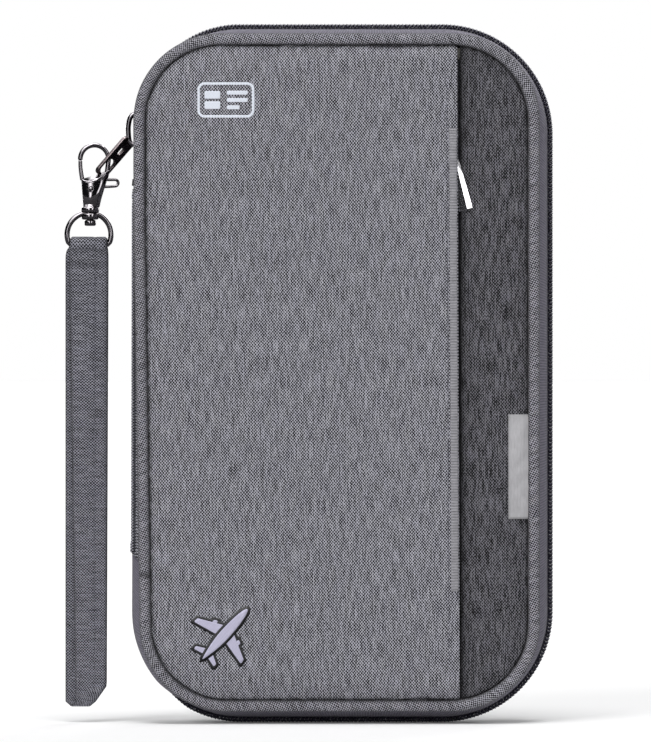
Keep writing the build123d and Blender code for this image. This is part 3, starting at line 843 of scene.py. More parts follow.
def tape_rails(stations, side):
    """Grid of one tape: out along its outer face and back along its inner face."""
    seam, seam_normals = (part[stations] for part in cover_outline(1.0 * MM))
    edge, edge_normals = shifted(chain_outline(COIL_DEPTH), stations, -1.5 * MM)
    under, under_normals = shifted(chain_outline(COIL_DEPTH * 1.15), stations, SINK_DEPTH)
    rails = []
    for depth, order in ((0.0, TAPE_SHARES), (TAPE_THICKNESS, TAPE_SHARES[::-1])):
        for t in order:
            normal = seam_normals * (1 - t) + edge_normals * t
            bow = 0.5 * MM * math.sin(math.pi * t)
            flat = seam * (1 - t) + edge * t + normal * (bow - depth)
            y = SEAM_DEPTH * (1 - t) + 2.5 * MM * t
            if t > 1:
                flat = under - under_normals * (depth * 0.5 + 0.05 * MM)
                y = 2.2 * MM if t < 1.2 else 0.12 * MM
            rails.append(to_space(flat, side * y))
    return np.stack(rails, axis=1)


def tape(side, name, node, body, low, high, whole_round=True):
    """Zip tape of one side, round the wallet or only along its start on the spine."""
    points = chain_outline(COIL_DEPTH)[0]
    stations = around_part(points, low, high) if whole_round else left_part(points, low, high)
    rails = tape_rails(stations, side)
    if not whole_round:
        y = np.clip(rails[:, :, 1], -8.45 * MM, 8.45 * MM)
        rails[:, :, 1] = np.where(np.abs(y) < 1 * MM, side * 0.5 * MM, y)
    made = grid(name, rails, False, True, caps=True)
    # painted shade on the tape beside the piping and beside the coil
    across = 0.9 * np.exp(-TAPE_SHARES / 0.07) + 0.75 * np.exp(-np.abs(1 - TAPE_SHARES) / 0.08)
    store_painted_shade(made, np.tile(np.concatenate([across, across[::-1]]), (len(rails), 1)))
    dressed(made, ZIP_TAPE, body, [node])


COIL_WIRE = 0.3 * MM
COIL_TURN_POINTS = 9


def coil_line(flat, side, inner, outer, phase):
    """Helix round an XZ line: it reaches from inner to outer along Y, and COIL_DEPTH across."""
    total = lengths(flat)[-1]
    loops = max(2, round(total / COIL_PITCH))
    path = even(flat, total / (loops * COIL_TURN_POINTS))
    tangents = np.gradient(path, axis=0)
    tangents /= np.linalg.norm(tangents, axis=1)[:, None]
    normals = np.column_stack([tangents[:, 1], -tangents[:, 0]])
    angle = 2 * math.pi * np.arange(len(path)) / COIL_TURN_POINTS + phase
    flat = path + normals * ((COIL_DEPTH / 2 - COIL_WIRE) * np.sin(angle))[:, None]
    y = side * ((inner + outer) / 2 + ((outer - inner) / 2 - COIL_WIRE) * np.cos(angle))
    return np.column_stack([flat[:, 0], y, flat[:, 1]])


def coil(side, name, node, body, stations, inner, outer=2.35 * MM):
    """Nylon coil along part of the chain, with the thread that sews it to its tape."""
    centre, normals = shifted(chain_outline(COIL_DEPTH / 2), stations, SINK_DEPTH)
    phase = 0 if side == FRONT else math.pi
    wound = tube(name, coil_line(centre, side, inner, outer, phase), COIL_WIRE, 6)
    sewn = even(to_space(centre - normals * 1.0 * MM, side * 1.9 * MM), 0.32 * MM)
    beads = [1 + 0.35 * math.sin(2 * math.pi * k / 4) for k in range(len(sewn))]
    thread = tube(name + "_thread", sewn, 0.24 * MM, 5, scale=beads)
    dressed(joined(name, [wound, thread]), COIL_NYLON, body, [node])


def zip_chain():
    """Tapes and coils of both covers and of the chain's start on the spine."""
    middle = chain_outline(COIL_DEPTH / 2)[0]
    low, high = SPINE_LOW.z + 0.8 * MM, START_HIGH.z + END_GAP
    stations = around_part(middle, low, high)
    for side, word in SIDES:
        tape(side, f"tape_{word}", f"zipper_tape_{word}", COVER[side], low, high)
        coil(side, f"coil_{word}", f"zipper_coil_{word}", COVER[side], stations, -0.3 * MM)
    high = START_HIGH.z
    stations = left_part(middle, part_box("zipper_coil_start")[0].z, high)
    for side, word in SIDES:
        tape(side, f"tape_start_{word}", "zipper_tape_start", "spine", START_LOW.z, high, False)
        coil(side, f"coil_start_{word}", "zipper_coil_start", "spine", stations, 0.5 * MM)


# ---- spine ----
SPINE_ENDS = (SPINE_LOW.z - 0.3 * MM, SPINE_HIGH.z + 0.2 * MM)
SPINE_INSET = 0.3 * MM
SPINE_EDGE_Y = 7.4 * MM
HEM = 4.5 * MM


def hem_shade(heights, low, high):
    """Painted shade along both hemmed ends of an upright strip."""
    return 0.95 * np.exp(-((np.minimum(heights - low, high - heights) / (0.7 * MM)) ** 2))


def spine_strip(name, node, inset, half, thickness, ends, material, bulge):
    """Upright strip of fabric along the spine, hemmed at both ends."""
    low, high = ends
    outline = chain_outline(inset)
    flat, normals = (part[left_part(outline[0], low, high)] for part in outline)
    hem = np.where(np.minimum(flat[:, 1] - low, high - flat[:, 1]) < HEM, 0.25 * MM, 0.0)
    outer, inner = [], []
    for y in np.linspace(-1, 1, 11):
        swell = bulge * (1 - y * y)
        outer.append(to_space(flat + normals * (swell + hem)[:, None], y * half))
        inner.append(to_space(flat + normals * (swell - thickness), y * half))
    made = grid(name, np.stack(outer + inner[::-1], axis=1), False, True, caps=True)
    store_painted_shade(made, np.repeat(hem_shade(flat[:, 1], low, high), len(outer + inner)))
    dressed(made, material, "spine", [node])


def spine_flange(side, name, low, high):
    """Edge of the spine's fabric, from the flat spine into the cover's seam; it is given no body."""
    outline = chain_outline(SPINE_INSET)
    stations = left_part(outline[0], low, high)
    outer, normals = (part[stations] for part in outline)
    seam = cover_outline(1.3 * MM)[0][stations]
    shares = np.linspace(0, 1, 9)
    rails = []
    for depth, order in ((0.0, shares), (0.5 * MM, shares[::-1])):
        for t in order:
            bow = 0.45 * MM * math.sin(math.pi * t)
            flat = outer * (1 - t) + seam * t + normals * (bow - depth)
            rails.append(to_space(flat, side * (SPINE_EDGE_Y + 1.7 * MM * t)))
    made = grid(name, np.stack(rails, axis=1), False, True, caps=True)
    # painted shade where the flange goes into the cover's seam
    across = 0.9 * np.exp(-(1 - shares) / 0.15)
    across = np.concatenate([across, across[::-1]])
    store_painted_shade(made, np.maximum(across[None, :], hem_shade(outer[:, 1], low, high)[:, None]))
    dressed(made, LIGHT_FABRIC, None)
    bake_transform(made)


def spine():
    """Outer gusset and lining of the spine."""
    spine_strip("spine_fabric", "spine_panel", SPINE_INSET, 8.75 * MM, 0.9 * MM, SPINE_ENDS, LIGHT_FABRIC,
                0.15 * MM)
    for side, word in SIDES:
        spine_flange(side, f"spine_flange_{word}", *SPINE_ENDS)
    ends = [corner.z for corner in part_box("spine_lining")]
    spine_strip("spine_lining_fabric", "spine_lining", 1.3 * MM, 8.6 * MM, 0.35 * MM, ends, LINING,
                0.0)


# ---- strap ----
STRAP_LOW, STRAP_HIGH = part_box("wrist_strap")
BAR_Z = 164.3 * MM  # the ring's straight bar, which the strap is folded round
STRAP_HALF = 1.15 * MM  # from the strap's middle plane to the middle of a layer
EYE_RADIUS = 1.95 * MM
STITCH_Z, STITCH_X = 157.3 * MM, -82.6 * MM


def strap_path():
    """Closed side view of the strap as (y, z, layer): up the front layer, round the bar, down the back."""
    low, neck = STRAP_LOW.z + 1.9 * MM, BAR_Z - 2.6 * MM
    path = [(-STRAP_HALF, z, 0.0) for z in np.linspace(low, neck, 120)]
    start = math.radians(-62)
    for k in range(17):
        a = start + (math.pi - 2 * start) * k / 16
        path.append((-EYE_RADIUS * math.cos(a), BAR_Z + EYE_RADIUS * math.sin(a), k / 16))
    path += [(STRAP_HALF, z, 1.0) for z in np.linspace(neck, low, 120)]
    for k in range(1, 8):
        a = math.pi * k / 8
        path.append((STRAP_HALF * math.cos(a), low - STRAP_HALF * math.sin(a), 1 - k / 8))
    return path


def strap_edges(z, layer):
    """Left and right edge of a strap layer at a height; layer is 0 in front and 1 behind."""
    share = min(1.0, max(0.0, (155 * MM - z) / (145 * MM)))
    left = STRAP_LOW.x + (1 - layer) * (1.4 + 2.2 * share) * MM + 0.15 * MM
    right = STRAP_HIGH.x - 0.15 * MM - 0.6 * share * MM - layer * (0.4 + 1.6 * share) * MM
    narrow = 1 / (1 + math.exp(-(z - 162.9 * MM) / (0.7 * MM)))
    left += narrow * (STRAP_LOW.x + 1.9 * MM - left)
    right += narrow * (STRAP_HIGH.x - 0.6 * MM - right)
    cut_corner = max(0.0, 12.5 * MM - z)
    return left, right - 0.7 * cut_corner


def strap_section(place, out, shares):
    """Points round the strap's cross section at a place of its path, and the painted shade of each one at the
    strap's edges and stitches, with a random change of tone.
    """
    y, z, layer = place
    left, right = strap_edges(z, layer)
    pinch = 0.5 * math.exp(-(((z - STITCH_Z) / (0.8 * MM)) ** 2))
    points, dark = [], []
    for face, order in ((1, shares), (-1, shares[::-1])):
        for t in order:
            x = left + (right - left) * t
            edge = min(t, 1 - t) * (right - left)
            half = 0.6 * MM * math.sqrt(1 - (1 - min(1, edge / (0.7 * MM))) ** 2) + 0.03 * MM
            groove = 0.22 * math.exp(-(((x - STITCH_X) / (0.5 * MM)) ** 2))
            reach = half * (1 - pinch - groove)
            if face > 0:
                reach += 0.10 * MM * wobble((x, y * 3, z), 9 * MM, 5)
            points.append([x, y + out[0] * reach * face, z + out[1] * reach * face])
            # painted shade at the strap's edges, in the stitch groove and at the pinch under the ring; the
            # wobble adds tone that differs at random
            shade = 0.75 * math.exp(-edge / (0.45 * MM)) + 1.1 * groove + 0.75 * pinch
            dark.append(shade + 0.25 * wobble((x * 3, y, z / 2.2), 5 * MM, 11))
    return points, dark


def strap_seams():
    """Stitches up the strap's front layer and across it under the ring."""
    y = -STRAP_HALF - 0.55 * MM
    across = []
    for x in np.linspace(-91.0, -78.8, 9):
        across.append((x * MM, y + 0.12 * MM, STITCH_Z + 0.35 * MM * math.sin(x * 1.1)))
    rows = [[(STITCH_X, y, z) for z in (16 * MM, STITCH_Z)], across]
    stitches("strap_stitches", rows, "strap", 2.4 * MM, 1.7 * MM, 0.15 * MM)


def strap():
    """Wrist strap: a folded fabric strip round the ring's bar, closed at its lower end."""
    path = strap_path()
    shares = np.linspace(0, 1, 19)
    steps = directions(np.array(path)[:, :2], True)
    rings, dark = [], []
    for place, step in zip(path, steps):
        points, shades = strap_section(place, (-step[1], step[0]), shares)
        rings.append(points)
        dark.append(shades)
    made = grid("strap_fabric_loop", np.array(rings), True, True)
    store_painted_shade(made, dark)
    dressed(made, STRAP_FABRIC, "strap", ["wrist_strap"])
    strap_seams()


# ---- edge trim, label and prints ----
def edge_trim(tree):
    """Ribbed binding along the pocket's mouth."""
    low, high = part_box("pocket_edge_trim")
    width, proud, thickness = 2.5 * MM, 0.24 * MM, 0.22 * MM
    rows = []
    for z in np.linspace(low.z, high.z, 160):
        left = flap_edge(z) - 0.35 * MM - width
        front = []
        for t in np.linspace(0, 1, 7):
            rise = 0.05 * MM + proud * math.sin(math.pi * (0.12 + 0.76 * t))
            front.append(on_surface(tree, left + width * t, z, rise))
        rows.append(front + [p + np.array([0, thickness, 0]) for p in front[::-1]])
    made = grid("edge_trim_ribbon", np.array(rows), False, True, caps=True)
    dressed(made, EDGE_TRIM, "front_cover", ["pocket_edge_trim"])


def label(tree):
    """Blank label folded into the side seam, a little lifted at its free edge."""
    low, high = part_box("woven_label")
    width = 10.4 * MM
    tall, wide = 40, 18
    points, rim = [], []
    for z in np.linspace(low.z, high.z, tall):
        up = (z - low.z) / (high.z - low.z)
        for t in np.linspace(0, 1, wide):
            x = low.x + width * t
            free = max(0.0, 1 - t * width / (5 * MM))
            lift = (0.3 + 0.9 * free**2 * (0.5 + 0.5 * math.sin(4.2 * up + 0.8)) + 0.5 * free**3 * up**6) * MM
            sewn = min(1.0, max(0.0, (x - high.x) / (1.5 * MM)))
            point = on_surface(tree, min(x, PIPING_HIGH.x - 4.3 * MM), z, lift * (1 - sewn))
            points.append([x, point[1] + sewn * 0.5 * MM, z])
            rim.append(min(t * width, z - low.z, high.z - z))
    made = slab_from("side_label", np.array(points).reshape(tall, wide, 3), 0.22 * MM, FRONT)
    # painted shade along the label's rim
    store_painted_shade(made, np.tile(0.5 * np.exp(-np.array(rim) / (0.35 * MM)), 2))
    dressed(made, LABEL_CLOTH, "front_cover", ["woven_label"])


PRINT_EDGE = -0.02 * MM  # the ink's edge lies this far under the panel's surface


def set_flat_uvs(made):
    """Weave coordinates of a print: the same as those of the panel under it."""
    mesh = made.data
    layer = mesh.uv_layers.get("cloth") or mesh.uv_layers.new(name="cloth")
    for loop in mesh.loops:
        spot = mesh.vertices[loop.vertex_index].co
        layer.data[loop.index].uv = (spot.x, spot.z)


def printed_line(name, tree, line, width, lift, material):
    """Thin printed line along a closed XZ path on the panel."""
    ahead = directions(line, True)
    normals = np.column_stack([ahead[:, 1], -ahead[:, 0]])
    section = ((-0.5, PRINT_EDGE), (-0.42, lift), (0, lift), (0.42, lift), (0.5, PRINT_EDGE))
    rows = []
    for point, normal in zip(line, normals):
        rows.append([on_surface(tree, *(point + normal * width * share), rise) for share, rise in section])
    made = grid(name, np.array(rows), True, False)
    set_flat_uvs(made)
    dressed(made, material, "front_cover")


def printed_shape(name, tree, outline, lift, material):
    """Filled convex printed shape, in rings from its edge to its middle."""
    outline = np.array(outline, float)
    centre = outline.mean(axis=0)
    points = []
    for share, rise in ((1.0, PRINT_EDGE), (0.985, lift), (0.75, lift), (0.5, lift), (0.25, lift)):
        points += [on_surface(tree, *(centre + (p - centre) * share), rise) for p in outline]
    count = len(outline)
    faces = [face[::-1] for face in grid_faces(len(points) // count, count, False, True)[0]]
    last = len(points) - count
    faces += [[last + j, last + (j + 1) % count, len(points)] for j in range(count)]
    points.append(on_surface(tree, *centre, lift))
    made = piece(name, points, faces)
    set_flat_uvs(made)
    dressed(made, material, "front_cover")


def smooth_polygon(corners, radius):
    """Polygon with small rounded corners, resampled evenly."""
    return rounded(corners, [radius] * len(corners), [(5, 8)] * len(corners))[0]


def badge(tree):
    """Plain print of a card: a frame, a chip in two parts and three bars."""
    middle_x, middle_z = -37.3 * MM, 213.2 * MM
    half_x, half_z = 9.3 * MM, 5.6 * MM
    corners = [(middle_x + a * half_x, middle_z + b * half_z) for a, b in BOX_CORNERS]
    border = rounded(corners, [2.0 * MM] * 4, [(8, 20), (8, 12), (8, 20), (8, 12)])[0]
    printed_line("print_card_border", tree, border, 0.9 * MM, 0.05 * MM, INK_WHITE)

    def filled(name, x, z, half_wide, half_high, radius):
        """Rounded box of ink, in millimetres from the badge's middle."""
        corners = []
        for a, b in BOX_CORNERS:
            corners.append((middle_x + (x + a * half_wide) * MM, middle_z + (z + b * half_high) * MM))
        printed_shape(name, tree, smooth_polygon(corners, radius * MM), 0.05 * MM, INK_WHITE)

    filled("print_card_chip_top", -4.6, 1.75, 2.7, 1.3, 0.45)
    filled("print_card_chip_bottom", -4.6, -1.75, 2.7, 1.3, 0.45)
    for number, (z, half) in enumerate(((2.5, 3.6), (0.0, 3.6), (-2.5, 2.2))):
        filled(f"print_card_bar_{number + 1}", 0.3 + half, z, half, 0.68, 0.5)


WING = [(1.2, 2.6), (10.6, -2.2), (10.9, -4.0), (1.2, -1.8)]  # (right, ahead) in millimetres
TAIL = [(0.6, -7.4), (4.6, -9.6), (4.7, -10.9), (0.6, -9.8)]
ENGINE = [(4.6, 1.9), (6.0, 1.2), (6.0, -0.8), (4.6, -0.2)]
PLANE_MIDDLE = np.array([-37.6 * MM, 30.9 * MM])
PLANE_HEADING = math.radians(48)
PLANE_LINE = 0.9 * MM  # width of the black outline


def on_plane(points, mirror=1):
    """XZ places of the aeroplane's (right, ahead) points, counter-clockwise."""
    ahead = np.array([math.cos(PLANE_HEADING), math.sin(PLANE_HEADING)])
    right = np.array([ahead[1], -ahead[0]])
    spots = [PLANE_MIDDLE + (right * a * mirror + ahead * b) * MM for a, b in points]
    turn = sum(p[0] * q[1] - q[0] * p[1] for p, q in zip(spots, spots[1:] + spots[:1]))
    return spots if turn > 0 else spots[::-1]


def grown(corners, by):
    """Corners of a convex shape, moved out so that each side moves by about that much."""
    moved = []
    for before, corner, after in zip(corners[-1:] + corners, corners, corners[1:] + corners[:1]):
        normals = [np.array([d[1], -d[0]]) / np.linalg.norm(d) for d in (corner - before, after - corner)]
        miter = normals[0] + normals[1]
        moved.append(corner + miter * by / max(0.5, miter @ normals[0]))
    return moved


def plane_body():
    """The aeroplane's fuselage: an oval with a narrower tail."""
    body = []
    for a in turns(36):
        taper = 1.0 if math.sin(a) > 0 else 1.0 - 0.55 * math.sin(a) ** 2
        body.append((1.75 * math.cos(a) * taper, 11.6 * math.sin(a)))
    return on_plane(body)


def aeroplane(tree):
    """Plain print of an aeroplane seen from above: black outlines under lilac shapes."""
    soft = 0.45 * MM
    for mirror, word in ((-1, "left"), (1, "right")):
        for level, (kind, corners) in enumerate((("engine", ENGINE), ("wing", WING), ("tail", TAIL))):
            name = f"print_plane_{kind}_{word}"
            lift = (0.04 + 0.02 * level) * MM
            spots = on_plane(corners, mirror)
            wide = smooth_polygon(grown(spots, PLANE_LINE), soft + 0.3 * MM)
            printed_shape(name + "_line", tree, wide, lift, INK_BLACK)
            printed_shape(name, tree, smooth_polygon(spots, soft), lift + 0.03 * MM, INK_LILAC)
    body = plane_body()
    printed_shape("print_plane_body_line", tree, grown(body, PLANE_LINE), 0.13 * MM, INK_BLACK)
    printed_shape("print_plane_body", tree, body, 0.16 * MM, INK_LILAC)


# ---- inside of the covers ----
SHEET_THICKNESS = 0.3 * MM
HEM_RISE = 0.16 * MM


def flat_sheet(name, rows, y, side, hem_at=None):
    """Sheet of lining or pocket cloth, a little uneven, with an optional thicker hem at its top."""
    heights = np.full(rows.shape[:2], y)
    for place in np.ndindex(*rows.shape[:2]):
        x, z = rows[place]
        heights[place] -= side * 0.12 * MM * (0.5 + 0.5 * wobble((x, y, z), 28 * MM, 8))
        if hem_at and z > hem_at:
            heights[place] -= side * HEM_RISE
    return slab_from(name, lifted(rows, heights), SHEET_THICKNESS, -side)


def rectangle_rows(low, high, corner, wide=24, step=4 * MM, hem_at=None):
    """Rows of points in a rectangle with rounded lower corners."""
    turn = [corner * (1 - math.cos(math.radians(a))) for a in range(0, 90, 10)]
    heights = [low.z + t for t in turn] + list(np.arange(low.z + corner, high.z, step)) + [high.z]
    if hem_at:
        heights = sorted(heights + [hem_at - 0.15 * MM, hem_at + 0.15 * MM])
    shares = width_shares(wide, 0.4)
    rows = []
    for z in heights:
        up = min(corner, z - low.z)
        cut = corner - math.sqrt(max(0.0, corner**2 - (corner - up) ** 2))
        x0, x1 = low.x + cut, high.x - cut
        rows.append(np.column_stack([x0 + (x1 - x0) * shares, np.full(wide, z)]))
    return np.array(rows)


def lining(side, word):
    """Lining over a cover's whole inside."""
    rows = cover_rows(5.0 * MM, 5 * MM, count=30)
    made = flat_sheet(f"{word}_lining_fabric", rows, side * LINING_Y, side)
    dressed(made, LINING, COVER[side], [f"{word}_lining"])


def open_seam(low, high, inset, corner):
    """XZ line of stitches down one side of a pocket, along its bottom and up the other side."""
    middle, half = (low + high) / 2, (high - low) / 2
    corners = [(middle.x + a * (half.x - inset), middle.z + b * (half.z - inset)) for a, b in BOX_CORNERS]
    outline = rounded(corners, [corner] * 4, [(6, 10)] * 4)[0]
    sewn = [p for p in outline if p[1] < high.z - corner - inset]
    split = next(i for i, (p, q) in enumerate(zip(sewn, sewn[1:]), 1) if p[0] - q[0] > half.x)
    return np.array(sewn[split:] + sewn[:split])


def slip_pocket(node, side, corner):
    """Flat pocket with a folded top hem, sewn round its sides and bottom."""
    low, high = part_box(node)
    inner = low.y if side == BACK else high.y
    inset, hem_at = 1.4 * MM, high.z - 5 * MM
    rows = rectangle_rows(low, high, corner, hem_at=hem_at)
    made = flat_sheet(f"{node}_fabric", rows, inner + side * 0.35 * MM, side, hem_at)
    dressed(made, POCKET_CLOTH, COVER[side], [node])
    y = inner + side * 0.02 * MM
    hem_y, hem_z = y - side * 0.1 * MM, hem_at + 0.7 * MM
    hem_line = [(low.x + inset, hem_y, hem_z), (high.x - inset, hem_y, hem_z)]
    lines = [to_space(open_seam(low, high, inset, corner), y), hem_line]
    stitches(f"{node}_stitches", lines, COVER[side], 2.8 * MM, 2.0 * MM, 0.12 * MM)


def pen_loop():
    """Elastic pen loop and the foot it is sewn down by."""
    low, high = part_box("pen_loop")
    centre = np.array([-57.5 * MM, 2.2 * MM])
    rows = []
    for z in np.linspace(low.z, high.z, 31):
        wide = 5.1 * MM + 0.12 * MM * math.sin(math.pi * (z - low.z) / (high.z - low.z))
        rows.append([(centre[0] + wide * math.cos(a), centre[1] + wide * math.sin(a), z) for a in turns(36)])
    outer = np.array(rows)
    inner = outer.copy()
    inner[:, :, :2] = centre + (outer[:, :, :2] - centre) * 0.88
    ring = grid("pen_loop_elastic", np.concatenate([outer, inner[::-1]]), True, True)
    left, right = Vector((-62.3 * MM, 0, low.z)), Vector((-51.2 * MM, 0, high.z))
    foot_rows = rectangle_rows(left, right, 0.8 * MM, 8)
    foot_y = np.full(foot_rows.shape[:2], 7.45 * MM)
    foot = slab_from("pen_loop_foot", lifted(foot_rows, foot_y), 0.6 * MM, FRONT)
    dressed(joined("pen_loop_elastic", [ring, foot]), ELASTIC, "back_cover", ["pen_loop"])


# ---- small zips ----
POCKET_ZIP = ((39.6 * MM, 13 * MM), (39.6 * MM, 227 * MM))
COIN_ZIP = ((-50 * MM, 212 * MM), (57 * MM, 212 * MM))
SMALL_PITCH = 1.0 * MM
SMALL_TURN_POINTS = 7


def small_tape(name, ends, across, width, y):
    """One tape of a small zip; its section is (distance from the middle, rise) in millimetres."""
    line = even(ends, 2 * MM)
    half = width / 2 / MM
    section = ((0.55, 0), (1.4, 0.12), (half, 0), (half, -0.4), (1.4, -0.35), (0.55, -0.4))
    rails = [to_space(line + across * share * MM, y - rise * MM) for share, rise in section]
    return grid(name, np.stack(rails, axis=1), False, True, caps=True)


def small_coil(name, ends, across, y, phase):
    """One coil of a small zip."""
    total = np.linalg.norm(ends[1] - ends[0])
    path = even(ends + across * 1.15 * MM, total / (round(total / SMALL_PITCH) * SMALL_TURN_POINTS))
    angle = 2 * math.pi * np.arange(len(path)) / SMALL_TURN_POINTS + phase
    flat = path - across[None] * (np.cos(angle) * 0.784 * MM)[:, None]
    return tube(name, np.column_stack([flat[:, 0], y + 0.36 * MM * np.sin(angle), flat[:, 1]]), 0.17 * MM, 5)


def small_zip(name, body, ends, width, tape_y, coil_y, tape_material):
    """Straight zip between two XZ points: two tapes and two coils."""
    ends = np.array(ends, float)
    ahead = (ends[1] - ends[0]) / np.linalg.norm(ends[1] - ends[0])
    tapes, coils = [], []
    for hand in (-1, 1):
        across = hand * np.array([ahead[1], -ahead[0]])
        tapes.append(small_tape(f"{name}_tape_{hand}", ends, across, width, tape_y))
        phase = math.pi if hand > 0 else 0
        coils.append(small_coil(f"{name}_coil_{hand}", ends, across, coil_y, phase))
    dressed(joined(f"{name}_tapes", tapes), tape_material, body, [f"{name}_tape"])
    dressed(joined(f"{name}_coils", coils), COIL_NYLON, body, [f"{name}_coil"])


# ---- clasp, ring, pull and bail ----
def bent(points, steps=8):
    """Smooth line through XZ points given in millimetres, as XYZ points in metres."""
    points = np.array(points, float)
    padded = np.vstack([2 * points[0] - points[1], points, 2 * points[-1] - points[-2]])
    line = []
    for a, b, c, d in zip(padded, padded[1:], padded[2:], padded[3:]):
        for k in range(steps):
            t = k / steps
            square, cube = 2 * a - 5 * b + 4 * c - d, 3 * b - a - 3 * c + d
            line.append(0.5 * (2 * b + (c - a) * t + square * t**2 + cube * t**3))
    line.append(points[-1])
    return to_space(np.array(line) * MM, 0.0)


def arc(centre, radius, first, last, count):
    """XZ points of an arc in millimetres, with its ends in degrees."""
    angles = [math.radians(first + (last - first) * k / count) for k in range(count + 1)]
    return [(centre[0] + radius * math.cos(a), centre[1] + radius * math.sin(a)) for a in angles]


def lathe(name, axis_x, profile):
    """Turned part round an upright axis; the profile is (radius, height) in millimetres, from the bottom."""
    circle = np.array([(math.cos(a), math.sin(a), 0) for a in turns(28)])
    rings = [circle * radius * MM + [axis_x, 0, z * MM] for radius, z in profile]
    return grid(name, np.array(rings), False, True, caps=True)


def disc(radius, low, high, edge=0.35):
    """Profile of a disc with rounded edges."""
    inner, near = radius - edge, radius - edge * 0.3
    return [(inner, low), (near, low + edge * 0.3), (radius, low + edge), (radius, high - edge),
            (near, high - edge * 0.3), (inner, high)]


# The clasp's casting, in millimetres: edges are (heights, x), and its upper rim is (x, heights).
HOOK_CENTRE = (-82.75, 193.5)
BODY_LOW = 177.0
BODY_LEFT = ([177.0, 186.2], [-86.6, -87.35])
BODY_RIGHT = ([177.0, 180.0, 185.3, 190.1], [-81.0, -80.3, -78.7, -77.3])
BODY_RIM = ([-87.4, -86.2, -84.2, -82.0, -80.0, -79.0, -77.3],
            [186.7, 186.0, 185.6, 186.2, 187.6, 188.7, 190.0])
BODY_HALF_DEPTH = 2.45
AXIS_X = sum(corner.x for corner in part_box("swivel_rivet")) / 2


def barrel_rings():
    """Rings of the casting's barrel, from its collar up to its slanting rim."""
    rings = []
    for t in (0, 0.04, 0.12, 0.25, 0.4, 0.55, 0.7, 0.85, 0.95, 1.0):
        points = []
        for a in turns(32):
            z = BODY_LOW + t * 9
            for _ in range(4):  # the barrel's width and the rim's height settle on each other
                left, right = np.interp(z, *BODY_LEFT), np.interp(z, *BODY_RIGHT)
                x = (left + right) / 2 + (right - left) / 2 * math.cos(a)
                z = BODY_LOW + t * (np.interp(x, *BODY_RIM) - BODY_LOW)
            swell = 0.8 + 0.2 * math.sin(math.pi * min(1, t * 1.2))
            y = BODY_HALF_DEPTH * swell * math.copysign(abs(math.sin(a)) ** 0.8, math.sin(a))
            points.append((x * MM, y * MM, z * MM))
        rings.append(points)
    return np.array(rings)


def casting():
    """Hook wire, barrel, rim and turned collar of the lobster clasp."""
    wire = bent([(-79.0, 186.6), (-78.35, 189.4)] + arc(HOOK_CENTRE, 4.85, -8, 184, 14), 4)
    scale = [1.0] * (len(wire) - 1) + [0.6]
    hook = tube("clasp_casting", wire, 0.86 * MM, 12, scale=scale)
    rings = barrel_rings()
    barrel = grid("clasp_barrel", rings, False, True, caps=True)
    rim = tube("clasp_rim", rings[-1] + [0, 0, 0.02 * MM], 0.24 * MM, 8, closed=True)
    neck = lathe("clasp_neck", AXIS_X, disc(3.1, 175.15, 177.05, 0.5) + [(2.5, 177.2), (2.3, 178.0)])
    made = joined("clasp_casting", [hook, barrel, rim, neck])
    dressed(made, GUNMETAL, "clasp", ["clasp_hook"])


def clasp_pin():
    """Domed head of the gate's pin, with a raised ring round it."""
    x, z = -83.9, 183.2
    front = -BODY_HALF_DEPTH

    def circle(radius, y):
        return [((x + radius * math.cos(a)) * MM, y * MM, (z + radius * math.sin(a)) * MM) for a in turns(24)]

    collar = tube("clasp_pin_ring", circle(0.95, front), 0.2 * MM, 8, closed=True)
    dome = [circle(radius, y) for radius, y in ((0.75, 2.5), (0.75, -2.4), (0.6, -2.6), (0.3, -2.72))]
    head = grid("clasp_pin_head", np.array(dome), False, True, caps=True)
    dressed(joined("clasp_pin_round", [collar, head]), GUNMETAL, "clasp", ["clasp_pin"])


def gate():
    """The clasp's gate, with the lever that a thumb pushes."""
    bar_line = bent([(-87.58, 193.1), (-87.55, 191.0), (-87.3, 188.8), (-86.9, 186.4)], 5)
    bar = tube("gate_bar", bar_line, 0.78 * MM, 12, scale=np.linspace(0.85, 1.0, len(bar_line)))
    knob = arc((-75.7, 185.35), 1.12, 88, -88, 6)
    lever_line = bent([(-80.2, 186.5), (-77.6, 186.45)] + knob + [(-77.6, 184.1), (-80.0, 184.0)], 4)
    lever = tube("gate_lever", lever_line, 0.52 * MM, 10)
    dressed(joined("gate_bar_and_lever", [bar, lever]), GUNMETAL, "gate", ["clasp_gate"])


def swivel():
    """Rivet between clasp and ring, and the ring with the straight bar that holds the strap."""
    profile = disc(2.0, 170.6, 172.6, 0.5) + [(1.15, 172.7), (1.15, 176.5)]
    rivet = lathe("swivel_rivet_turned", AXIS_X, profile)
    dressed(rivet, GUNMETAL, "clasp", ["swivel_rivet"])
    bar_z = BAR_Z / MM
    bar = [(-91.2, bar_z + 0.05), (-88, bar_z), (-84.6, bar_z), (-81.2, bar_z), (-78.0, bar_z + 0.05)]
    loop = arc((-84.6, 167.6), 7.55, -20, 200, 30) + bar
    ring = tube("strap_ring_wire", to_space(np.array(loop) * MM, 0.0), 0.95 * MM, 12, closed=True)
    boss = lathe("strap_ring_boss", AXIS_X, disc(2.95, 172.75, 174.95, 0.55))
    dressed(joined("strap_ring_wire", [ring, boss]), GUNMETAL, "swivel", ["strap_ring"])


